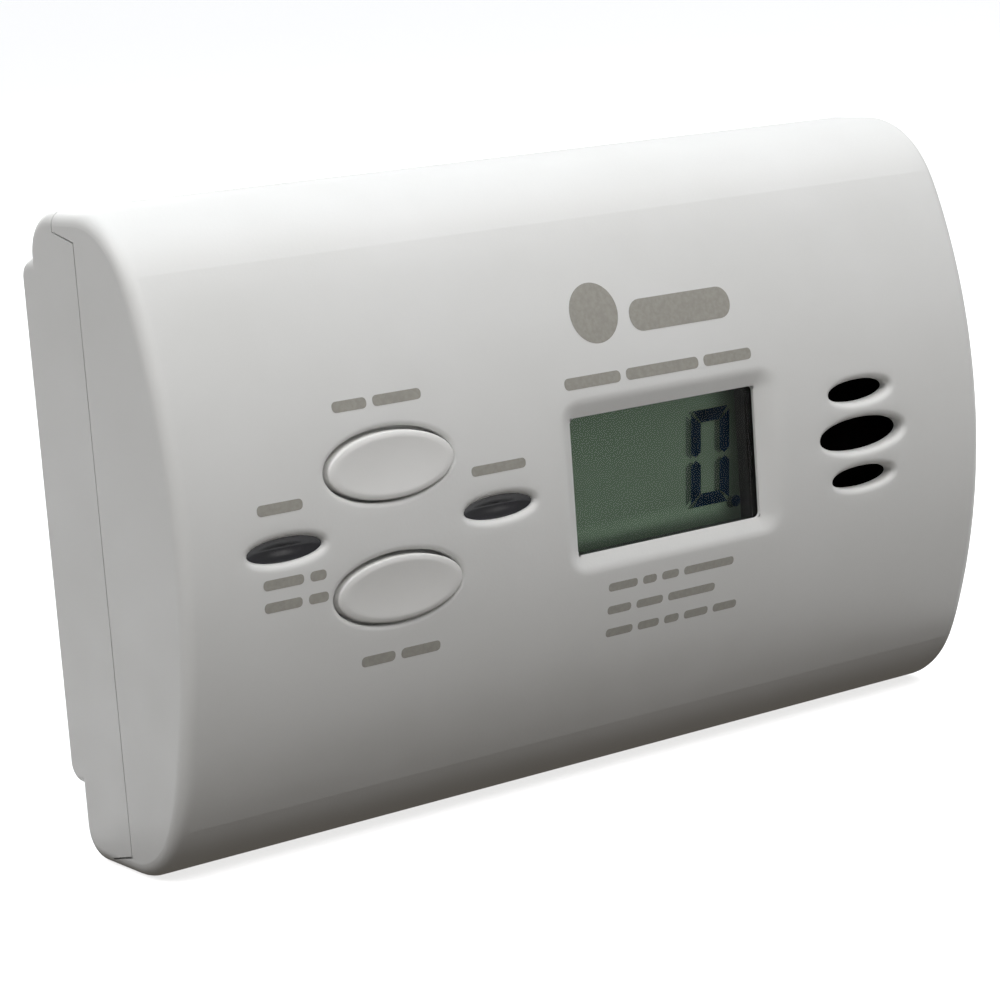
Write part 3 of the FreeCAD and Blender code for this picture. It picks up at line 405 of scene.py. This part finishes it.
def add_piece(name, work, paint, body, replaced=()):
    """A bmesh becomes a shown piece that rides on a body."""
    mesh = bpy.data.meshes.new(name)
    work.to_mesh(mesh)
    work.free()
    obj = bpy.data.objects.new(name, mesh)
    bpy.context.scene.collection.objects.link(obj)
    mesh.materials.append(paint)
    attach(obj, body)
    if replaced:
        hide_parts(*replaced)
    return obj


def ring_faces(work, first, second, closed=True):
    """Quads between two rings of vertices."""
    count = len(first)
    for i in range(count if closed else count - 1):
        j = (i + 1) % count
        corners = [first[i], first[j], second[j], second[i]]
        unique = list(dict.fromkeys(corners))
        if len(unique) > 2:
            work.faces.new(unique)


# ---- shapes of the openings ------------------------------------------------------------
OVAL_POINTS = 96


def oval_point(x, z, a, b, i, away=0.0):
    """Point i of an oval, moved away from its outline along the normal."""
    t = 2 * math.pi * i / OVAL_POINTS
    c, s = math.cos(t), math.sin(t)
    size = math.hypot(b * c, a * s)
    return x + a * c + away * b * c / size, z + b * s + away * a * s / size


class Oval:
    """An oval opening whose rim rolls inwards: reach is how wide the roll is, sink how deep."""

    def __init__(self, x, z, a, b, reach, sink, steps=6):
        self.x, self.z, self.a, self.b = x, z, a, b
        self.margin = reach + 0.35
        self.rings = []
        for k in range(steps + 1):
            turn = math.pi / 2 * k / steps
            away = reach * (1 - math.cos(turn))
            down = sink * (1 - math.sin(turn))
            self.rings.append([(x1, z1, front_depth(z1) + down) for x1, z1 in self.outline(away)])

    def outline(self, away):
        return [oval_point(self.x, self.z, self.a, self.b, i, away) for i in range(OVAL_POINTS)]

    def holds(self, x, z, margin=0.0):
        return math.hypot((x - self.x) / (self.a + margin), (z - self.z) / (self.b + margin)) < 1


def rounded_points(x, z, w, h, r, per_side=26, per_corner=9):
    """Points round a rounded rectangle, each side and corner with its own fixed share."""
    points = []
    for sx, sz, start in ((1, 1, 0), (-1, 1, 90), (-1, -1, 180), (1, -1, 270)):
        cx, cz = x + sx * (w / 2 - r), z + sz * (h / 2 - r)
        for k in range(per_corner):
            a = math.radians(start + 90 * k / (per_corner - 1))
            points.append((cx + r * math.cos(a), cz + r * math.sin(a)))
        nx, nz = (cx - 2 * (cx - x), cz) if start in (0, 180) else (cx, cz - 2 * (cz - z))
        end = math.radians(start + 90)
        first = (cx + r * math.cos(end), cz + r * math.sin(end))
        last = (nx + r * math.cos(end), nz + r * math.sin(end))
        for k in range(1, per_side):
            t = k / per_side
            points.append((first[0] + (last[0] - first[0]) * t, first[1] + (last[1] - first[1]) * t))
    return points


class Window:
    """The display opening with its sloping recess, which fades softly into the front."""

    soft = 0.3                # how far past its edge the slope still fades
    steps = 14
    margin = 0.4

    def __init__(self):
        inner = rounded_points(WINDOW_X, FACE_Z, WINDOW_W, WINDOW_H, WINDOW_R)
        outer = rounded_points(RECESS_X, FACE_Z, RECESS_W, RECESS_H, RECESS_R)
        self.rings = []
        for k in range(self.steps + 1):
            t = (1 + self.soft) * k / self.steps
            ring = []
            for (x0, z0), (x1, z1) in zip(inner, outer):
                x, z = x0 + (x1 - x0) * t, z0 + (z1 - z0) * t
                level = (RECESS_FLOOR - front_depth(z0)) * self.fade(t)
                ring.append((x, z, front_depth(z) + level))
            self.rings.append(ring)

    def fade(self, t):
        if t < 1 - self.soft:
            return 1 - t
        return max(0.0, 1 + self.soft - t) ** 2 / (4 * self.soft)

    def holds(self, x, z, margin=0.0):
        if margin:
            grow = 1 + self.soft
            w = WINDOW_W + (RECESS_W - WINDOW_W) * grow
            h = WINDOW_H + (RECESS_H - WINDOW_H) * grow
            cx = WINDOW_X + (RECESS_X - WINDOW_X) * grow
            return abs(x - cx) < w / 2 + margin and abs(z - FACE_Z) < h / 2 + margin
        return abs(x - WINDOW_X) < WINDOW_W / 2 and abs(z - FACE_Z) < WINDOW_H / 2


def openings():
    found = [Window()]
    for i, (a, b) in enumerate(VENT_SIZES):
        found.append(Oval(VENT_X, VENT_Z + (1 - i) * VENT_PITCH, a, b, *VENT_ROLL))
    for side in (-1, 1):
        found.append(Oval(BUTTON_X + side * LAMP_REACH, LAMP_Z, LAMP_A, LAMP_B, *LAMP_ROLL))
        found.append(Oval(BUTTON_X, FACE_Z + side * BUTTON_RISE, BUTTON_A + BUTTON_GAP,
                          BUTTON_B + BUTTON_GAP, *BUTTON_ROLL))
    return found


# ---- front cover -----------------------------------------------------------------------
SEAM_KINK = SIDE_REAR + (SIDE_LOW - EDGE_R) / SLANT
ROWS, CORNER_STEPS, COLUMNS, ROUND_STEPS = 40, 14, 72, 8
LIP, LIP_WIDTH = 0.5, 1.8     # the thin lip round the display window


def outline(inset):
    """(depth, z, depth part and z part of the outward normal) from the top seam round to the bottom one."""
    points = [(d, HEIGHT - inset, 0.0, 1.0) for d in (REAR, (REAR + CORNER_DEPTH) / 2)]

    def corner(z, start, end):
        for k in range(CORNER_STEPS + 1):
            a = start + (end - start) * k / CORNER_STEPS
            radius = CORNER_R - inset - eased(abs(a - math.pi))
            yield CORNER_DEPTH + radius * math.cos(a), z + radius * math.sin(a), math.cos(a), math.sin(a)

    points += list(corner(HEIGHT - CORNER_R, math.pi / 2, math.pi - LEAN))[:-1]
    for k in range(ROWS + 1):
        a = math.pi - LEAN + 2 * LEAN * k / ROWS
        z = MID_Z + (FRONT_R - inset) * math.sin(a)
        front = front_depth(MID_Z + FRONT_R * math.sin(a)) - inset * math.cos(a)
        points.append((front, z, math.cos(a), math.sin(a)))
    points += list(corner(CORNER_R, math.pi + LEAN, 1.5 * math.pi))[1:]
    points += [(d, inset, 0.0, -1.0) for d in (SEAM_KINK, REAR)]
    return points


FACE_START = 2 + CORNER_STEPS
FACE_END = FACE_START + ROWS


def face_net(columns, rows, holes):
    """The front's plan, as triangles in x and z round the openings, with each corner's depth."""
    points, depths, edges = [], [], []

    def put(x, z, depth):
        points.append(Vector((x, z)))
        depths.append(depth)
        return len(points) - 1

    border = [(x, rows[0]) for x in columns]
    border += [(columns[-1], z) for z in rows[1:]]
    border += [(x, rows[-1]) for x in reversed(columns[:-1])]
    border += [(columns[0], z) for z in reversed(rows[1:-1])]
    ids = [put(x, z, front_depth(z)) for x, z in border]
    edges += list(zip(ids, ids[1:] + ids[:1]))
    rims = []
    for hole in holes:
        for k, ring in enumerate(hole.rings):
            ids = [put(*p) for p in ring]
            edges += list(zip(ids, ids[1:] + ids[:1]))
            if k == 0:
                rims.append(ids)
    for x in columns[1:-1]:
        for z in rows[1:-1]:
            if not any(hole.holds(x, z, hole.margin) for hole in holes):
                put(x, z, front_depth(z))
    verts, _, faces, origin, _, _ = delaunay_2d_cdt(points, edges, [], 0, 1e-6)
    place = {}
    for new, old in enumerate(origin):
        for i in old:
            place[i] = new
    level = [depths[old[0]] if old else front_depth(v.y) for v, old in zip(verts, origin)]
    kept = []
    for face in faces:
        x = sum(verts[i].x for i in face) / 3
        z = sum(verts[i].y for i in face) / 3
        if not any(hole.holds(x, z) for hole in holes):
            kept.append(face)
    return verts, level, kept, [[place[i] for i in rim] for rim in rims]


def inner_level(x, z):
    """Depth of the wall's inside, which stays just in front of the display's pane."""
    near = abs(x - WINDOW_X) < WINDOW_W / 2 + LIP_WIDTH and abs(z - FACE_Z) < WINDOW_H / 2 + LIP_WIDTH
    return RECESS_FLOOR + LIP if near else front_depth(z, WALL)


def cap_corners(side, inset_line, seam_x):
    """The flat end's outline: round the front, then back along the seam."""
    line = [(d, z) for d, z, _, _ in inset_line[:-1]]
    low_end = [(SIDE_REAR, SIDE_LOW), (SIDE_REAR, SIDE_HIGH)]
    high = (REAR, SIDE_HIGH + SLANT * (REAR - SIDE_REAR))
    return [at(side * seam_x, d, z) for d, z in line + low_end + [high]]


def front_shell(paint):
    work = bmesh.new()
    holes = openings()
    half_flat = HALF - EDGE_R
    columns = [-half_flat + 2 * half_flat * k / COLUMNS for k in range(COLUMNS + 1)]
    line = outline(0.0)
    rows = [z for _, z, _, _ in line[FACE_START:FACE_END + 1]]
    verts, level, faces, rims = face_net(columns, rows, holes)

    # the face, its inside and the walls of its openings
    outside = [work.verts.new(at(v.x, d, v.y)) for v, d in zip(verts, level)]
    inside = [work.verts.new(at(v.x, inner_level(v.x, v.y), v.y)) for v in verts]
    for face in faces:
        work.faces.new([outside[i] for i in face])
        work.faces.new([inside[i] for i in reversed(face)])
    for rim in rims:
        ring_faces(work, [outside[i] for i in rim], [inside[i] for i in rim])

    # top, bottom and their corners, outside and inside
    # These nets, and the rounds further down, are wound inside out against the face, so the
    # seams between them stay sharp, and the inside ones don't meet the face's edge.
    deep = outline(WALL)
    for first, last in ((0, FACE_START), (FACE_END, len(line) - 1)):
        for source, flip in ((line, False), (deep, True)):
            net = [[work.verts.new(at(x, d, z)) for x in columns] for d, z, _, _ in source[first:last + 1]]
            for upper, lower in zip(net, net[1:]):
                ring_faces(work, lower if flip else upper, upper if flip else lower, closed=False)

    # the rounds that lead to the flat ends, and the ends
    core = outline(EDGE_R)
    for side in (-1, 1):
        net = []
        for k in range(ROUND_STEPS + 1):
            turn = math.pi / 2 * k / ROUND_STEPS
            x = side * (half_flat + EDGE_R * math.sin(turn))
            strip = []
            for i, (d, z, nd, nz) in enumerate(core):
                d += nd * EDGE_R * math.cos(turn)
                z += nz * EDGE_R * math.cos(turn)
                if i == len(core) - 1:
                    d = min(d, SIDE_REAR + (SIDE_LOW - z) / SLANT)
                strip.append(work.verts.new(at(x, d, z)))
            net.append(strip)
        for near, far in zip(net, net[1:]):
            ring_faces(work, near if side < 0 else far, far if side < 0 else near, closed=False)
        for seam_x, source, flip in ((HALF, core, side > 0), (HALF - WALL, deep, side < 0)):
            corners = [work.verts.new(p) for p in cap_corners(side, source, seam_x)]
            work.faces.new(corners if flip else corners[::-1])

    bmesh.ops.remove_doubles(work, verts=work.verts, dist=WELD)
    shell = add_piece("front_shell", work, paint, "housing", ["front_cover"])
    smooth(shell, 50)


# ---- buttons ---------------------------------------------------------------------------
CAP_X, CAP_Z = 0.15, -0.12    # the caps sit a little loose in their holes
TILT_X, TILT_Z = 0.018, 0.008
CREST_SCALE = 0.92
CAP_SKIRT = ((0.0, 3.4), (1.1, 3.4), (1.1, 4.4), (-1.5, 4.4))     # (growth, depth) of the hidden rim
DISH_STEPS, SHOULDER_STEPS, RIM_STEPS = 14, 8, 5


def button_profile():
    """(scale of the oval, inset from it, share of the middle, height above the cover), outwards."""
    crest, dish = 0.38, 0.24
    shoulder, shoulder_drop = 0.45, 0.11
    corner, start = 0.24, 0.45
    steps = []
    for k in range(1, DISH_STEPS + 1):
        t = k / DISH_STEPS
        steps.append((CREST_SCALE, shoulder, t, crest - dish * (1 - t ** 2)))
    for k in range(1, SHOULDER_STEPS + 1):
        t = k / SHOULDER_STEPS
        scale = CREST_SCALE + (1 - CREST_SCALE) * t
        steps.append((scale, shoulder + (corner - shoulder) * t, 1.0, crest - shoulder_drop * t * t))
    for k in range(1, RIM_STEPS + 1):
        turn = start + (math.pi / 2 - start) * k / RIM_STEPS
        inset = corner * (1 - math.sin(turn)) / (1 - math.sin(start))
        drop = shoulder_drop + corner * (math.cos(start) - math.cos(turn))
        steps.append((1.0, inset, 1.0, crest - drop))
    return crest - dish, steps


def button_cap(name, side, paint):
    """An oval cap: rounded rim, a crest just inside it and a gentle dish in the middle."""
    x0, z0 = BUTTON_X + CAP_X, FACE_Z + side * BUTTON_RISE + CAP_Z
    low, steps = button_profile()
    work = bmesh.new()
    rings = []
    for scale, inset, share, proud in steps:
        ring = []
        for i in range(OVAL_POINTS):
            x, z = oval_point(x0, z0, BUTTON_A * scale, BUTTON_B * scale, i, -inset)
            x, z = x0 + share * (x - x0), z0 + share * (z - z0)
            slack = TILT_X * (x - x0) - TILT_Z * (z - z0)
            ring.append(work.verts.new(at(x, front_depth(z) - proud - slack, z)))
        rings.append(ring)
    middle = work.verts.new(at(x0, front_depth(z0) - low, z0))
    for i in range(OVAL_POINTS):
        work.faces.new([middle, rings[0][i], rings[0][(i + 1) % OVAL_POINTS]])
    for grow, depth in CAP_SKIRT:
        ring = []
        for i in range(OVAL_POINTS):
            x, z = oval_point(x0, z0, BUTTON_A, BUTTON_B, i, grow)
            ring.append(work.verts.new(at(x, depth, z)))
        rings.append(ring)
    for near, far in zip(rings, rings[1:]):
        ring_faces(work, near, far)
    work.faces.new(rings[-1])
    bmesh.ops.recalc_face_normals(work, faces=work.faces)
    cap = add_piece(name + "_cap", work, paint, name + "_body", [name])
    smooth(cap, 50)


# ---- lamp windows ----------------------------------------------------------------------
LENS_GAP, LENS_DEPTH, LENS_BACK = 0.03, 0.85, 3.2
VALLEY, VALLEY_RISE = 0.75, 0.12    # how deep the valley is, and how far above the middle


def lamp_window(name, side, paint):
    """A dark oval lens, sunk in a valley that runs along its length."""
    x0 = BUTTON_X + side * LAMP_REACH
    a, b = LAMP_A - LENS_GAP, LAMP_B - LENS_GAP
    work = bmesh.new()
    rings = []
    for share in (0.12, 0.25, 0.4, 0.55, 0.7, 0.82, 0.92, 1.0):
        ring = []
        for i in range(OVAL_POINTS):
            t = 2 * math.pi * i / OVAL_POINTS
            across = share * math.sin(t)
            valley = VALLEY * (1 - share ** 2) * (1 - min(1.0, abs(across - VALLEY_RISE)))
            x = x0 + a * share * math.cos(t)
            ring.append(work.verts.new(at(x, LENS_DEPTH + valley, LAMP_Z + b * across)))
        rings.append(ring)
    middle = work.verts.new(at(x0, LENS_DEPTH + VALLEY * (1 - VALLEY_RISE), LAMP_Z))
    for i in range(OVAL_POINTS):
        work.faces.new([middle, rings[0][i], rings[0][(i + 1) % OVAL_POINTS]])
    skirt = []
    for i in range(OVAL_POINTS):
        t = 2 * math.pi * i / OVAL_POINTS
        skirt.append(work.verts.new(at(x0 + a * math.cos(t), LENS_BACK, LAMP_Z + b * math.sin(t))))
    rings.append(skirt)
    for near, far in zip(rings, rings[1:]):
        ring_faces(work, near, far)
    work.faces.new(skirt)
    bmesh.ops.recalc_face_normals(work, faces=work.faces)
    lens = add_piece(name + "_window", work, paint, "housing", [name])
    smooth(lens, 60)


# ---- display ---------------------------------------------------------------------------
DIGIT_DEPTH = 5.97
# the painted shadow copy of the digit lies this far to the left, and just behind it
SHADE_SHIFT, SHADE_BEHIND = -1.0, 0.015
FILM_THICKNESS = 0.01
POINT_R = 0.9


def digit_paint():
    return speckled("digit_ink", (0.003, 0.009, 0.018), (0.005, 0.013, 0.026), 0.6, 0.8, 2, 0.003,
                    Specular_IOR_Level=0.0)


def shade_paint():
    """A painted shadow: a darker copy of the digit on the film behind it, where the digit's own faint shade
    falls.
    """
    return speckled("digit_shade", (0.018, 0.027, 0.020), (0.022, 0.032, 0.024), 0.8, 0.4, 2, 0.002,
                    Metallic=0.85, Specular_IOR_Level=0.1)


def circle_points(x, z, r, count):
    return [(x + r * math.cos(a), z + r * math.sin(a))
            for a in (math.radians(360 / count * k) for k in range(count))]


def flat_prism(work, outline_points, depth, thickness):
    front = [work.verts.new(at(x, depth, z)) for x, z in outline_points]
    back = [work.verts.new(at(x, depth + thickness, z)) for x, z in outline_points]
    work.faces.new(front)
    work.faces.new(back[::-1])
    ring_faces(work, back, front)


def lcd_digit(name, shift, depth, paint):
    """A seven-segment 0 with its point: six bevelled bars and a dot."""
    left, right, low, high = 17.65 + shift, 25.16 + shift, 38.42, 52.92
    bar, gap, lean = 1.92, 0.1, 0.078
    middle = (low + high) / 2
    work = bmesh.new()

    def put(points):
        leaned = [(x + (z - low) * lean, z) for x, z in points]
        flat_prism(work, leaned, depth, FILM_THICKNESS)

    for z, way in ((high, -1), (low, 1)):
        put([(left + gap + 0.25, z), (right - gap - 0.25, z), (right - bar - gap, z + way * bar),
             (left + bar + gap, z + way * bar)])
    for x, way in ((left, 1), (right, -1)):
        for z, up in ((high, -1), (low, 1)):
            put([(x, z + up * (gap + 0.4)), (x + way * bar, z + up * (bar + gap)),
                 (x + way * bar, middle - up * 0.95), (x + way * bar * 0.5, middle - up * 0.2),
                 (x, middle - up * 0.95)])
    flat_prism(work, circle_points(right + 1.34, low - 0.25, POINT_R, 24), depth, FILM_THICKNESS)
    bmesh.ops.recalc_face_normals(work, faces=work.faces)
    add_piece(name, work, paint, "housing")


# ---- printed legends, as plain bars ----------------------------------------------------
PRINT_LIFT = 0.02
BAND = 0.5                    # height of the bands that follow the bow
WORD_GAP = 1.0


def ink_paint():
    return speckled("legend_ink", (0.305, 0.293, 0.260), (0.350, 0.337, 0.300), 1.5, 0.55, 4, 0.003)


def printed(work, points):
    """One flat printed shape, cut into low bands so that it follows the bowed front."""
    shape = bmesh.new()
    shape.faces.new([shape.verts.new((x, 0, z)) for x, z in points])
    low, high = min(z for _, z in points), max(z for _, z in points)
    bands = max(2, math.ceil((high - low) / BAND))
    for k in range(1, bands):
        level = low + (high - low) * k / bands
        bmesh.ops.bisect_plane(shape, geom=shape.verts[:] + shape.edges[:] + shape.faces[:],
                               plane_co=(0, 0, level), plane_no=(0, 0, 1), dist=1e-4)
    made = {v: work.verts.new(at(v.co.x, front_depth(v.co.z) - PRINT_LIFT, v.co.z)) for v in shape.verts}
    for face in shape.faces:
        work.faces.new([made[v] for v in face.verts])
    shape.free()


def legends(paint):
    """Rows of plain rounded bars where the cover has its small printing."""
    rows = [                  # (left end, height, widths of the bars, their height)
        (-47.0, 63.4, (5.6, 8.0), 1.5),
        (-60.9, 51.6, (7.2,), 1.5),
        (-25.9, 51.4, (9.4,), 1.4),
        (-60.9, 41.5, (6.4, 2.6), 1.4),
        (-60.9, 38.4, (6.0, 3.2), 1.4),
        (-45.4, 27.8, (5.6, 6.6), 1.5),
        (-8.0, 61.0, (10.2, 13.6, 9.2), 1.7),
        (-2.4, 30.5, (5.4, 2.6, 3.2, 9.6), 1.25),
        (-2.4, 27.0, (4.4, 5.0, 9.0), 1.25),
        (-2.4, 23.5, (5.0, 4.0, 2.8, 4.6, 4.6), 1.25),
    ]
    work = bmesh.new()
    for x, z, words, height in rows:
        for width in words:
            printed(work, rounded_points(x + width / 2, z, width, height, height * 0.42, 6, 5))
            x += width + WORD_GAP
    # a plain disc and bar where the mark is
    printed(work, circle_points(-0.4, 70.3, 4.3, 60))
    printed(work, rounded_points(15.3, 69.0, 19.0, 4.6, 2.2, 8, 7))
    add_piece("legend_bars", work, paint, "housing")


# ---- stage -----------------------------------------------------------------------------
FLOOR_MIDDLE = (0.10, 0.032, 0.0)                 # metres
FLOOR_R, COVE_R, WALL_TOP = 3.0, 1.5, 5.0
COVE_STEPS, FLOOR_SIDES = 12, 72


def floor_piece(name, profile, paint):
    """Rings of the floor, each (half width, half depth, height); a single one makes a disc."""
    work = bmesh.new()
    rings = []
    for wide, deep, height in profile:
        rings.append([work.verts.new((wide * x, deep * y, height))
                      for x, y in circle_points(0.0, 0.0, 1.0, FLOOR_SIDES)])
    if len(rings) == 1:
        work.faces.new(rings[0])
    for near, far in zip(rings, rings[1:]):
        ring_faces(work, far, near)
    mesh = bpy.data.meshes.new(name)
    work.to_mesh(mesh)
    work.free()
    floor = bpy.data.objects.new(name, mesh)
    bpy.context.scene.collection.objects.link(floor)
    mesh.materials.append(paint)
    for face in mesh.polygons:
        face.use_smooth = True
    floor.visible_diffuse = False
    return floor


def make_stage():
    """A wide pale floor that curves up into a backdrop on every side.

    The patch under the object doesn't shine on it, so that its lower edge stays in the shade.
    """
    paint = Paint("floor", (0.82, 0.82, 0.82), 0.7, Specular_IOR_Level=0.2)
    paint.roughness(paint.span(paint.noise(0.01, 2.0), 0.65, 0.75))
    paint.bsdf.inputs["Emission Color"].default_value = (1, 1, 1, 1)
    paint.bsdf.inputs["Emission Strength"].default_value = 0.72
    profile = [FLOOR_MIDDLE] + [(r, r, 0.0) for r in (0.5, 1.5, FLOOR_R)]
    for k in range(1, COVE_STEPS + 1):
        turn = math.pi / 2 * k / COVE_STEPS
        radius = FLOOR_R + COVE_R * math.sin(turn)
        profile.append((radius, radius, COVE_R * (1 - math.cos(turn))))
    profile.append((FLOOR_R + COVE_R, FLOOR_R + COVE_R, WALL_TOP))
    floor_piece("floor", profile, paint.material)
    floor_piece("floor_middle", [FLOOR_MIDDLE], paint.material).visible_glossy = False


def area_light(name, place, target, size, power, color):
    """A square soft light that looks at target."""
    data = bpy.data.lights.new(name, "AREA")
    data.shape = "SQUARE"
    data.size = size
    data.energy = power
    data.color = color
    light = bpy.data.objects.new(name, data)
    bpy.context.scene.collection.objects.link(light)
    light.location = place
    light.rotation_euler = (Vector(target) - Vector(place)).to_track_quat("-Z", "Y").to_euler()


BELOW, ABOVE = (0.098, 0.089, 0.078, 1), (0.30, 0.32, 0.35, 1)


def make_world():
    """A dim surround: light and slightly cool overhead, dim and warm below."""
    world = bpy.data.worlds.new("world")
    bpy.context.scene.world = world
    world.use_nodes = True
    tree = world.node_tree
    place = tree.nodes.new("ShaderNodeTexCoord")
    split = tree.nodes.new("ShaderNodeSeparateXYZ")
    tree.links.new(place.outputs["Generated"], split.inputs["Vector"])
    ramp = tree.nodes.new("ShaderNodeValToRGB")
    ramp.color_ramp.elements[0].color = BELOW
    ramp.color_ramp.elements[1].color = ABOVE
    ramp.color_ramp.elements[0].position = 0.42
    ramp.color_ramp.elements[1].position = 0.95
    lift = tree.nodes.new("ShaderNodeMapRange")
    lift.inputs["From Min"].default_value = -1.0
    tree.links.new(split.outputs["Z"], lift.inputs["Value"])
    tree.links.new(lift.outputs["Result"], ramp.inputs["Fac"])
    tree.links.new(ramp.outputs["Color"], tree.nodes["Background"].inputs["Color"])
    tree.nodes["Background"].inputs["Strength"].default_value = 1.0


WARM, COOL = (1.0, 0.985, 0.965), (0.92, 0.965, 1.0)
PANEL_AWAY, PANEL_SIZE = 1.3, 0.6
PANELS = [                    # (name, turn from the front, height in degrees, watts)
    ("left_panel", -80, 50, 5.65),
    ("front_panel", -10, 50, 5.5),
    ("right_panel", 50, 50, 2.78),
    ("back_panel", 170, 18, 3.6),
]


def make_lights():
    make_world()
    bpy.context.scene.view_settings.view_transform = "Standard"
    aim = Vector((0, 0, MID_Z * MM))
    for name, turn, rise, power in PANELS:
        az, el = math.radians(turn), math.radians(rise)
        away = Vector((math.sin(az) * math.cos(el), -math.cos(az) * math.cos(el), math.sin(el)))
        area_light(name, aim + away * PANEL_AWAY, aim, PANEL_SIZE, power, WARM)
    area_light("overhead", (0.1, 0.05, 1.2), (0, 0, 0.09), 1.0, 5.0, COOL)


make_camera()
paints = make_materials()
dress_cad_nodes(paints)
front_shell(paints["cover_plastic"])
for button_name, button_side in (("test_button", 1), ("peak_button", -1)):
    button_cap(button_name, button_side, paints["button_plastic"])
for lens_name, lens_side in (("alarm_lens", -1), ("operate_lens", 1)):
    lamp_window(lens_name, lens_side, paints["smoked_plastic"])
# painted shadow: a darker copy of the digit on the film
lcd_digit("digit_shade", SHADE_SHIFT, DIGIT_DEPTH + SHADE_BEHIND, shade_paint())
lcd_digit("display_digit", 0.0, DIGIT_DEPTH, digit_paint())
legends(ink_paint())
make_stage()
make_lights()
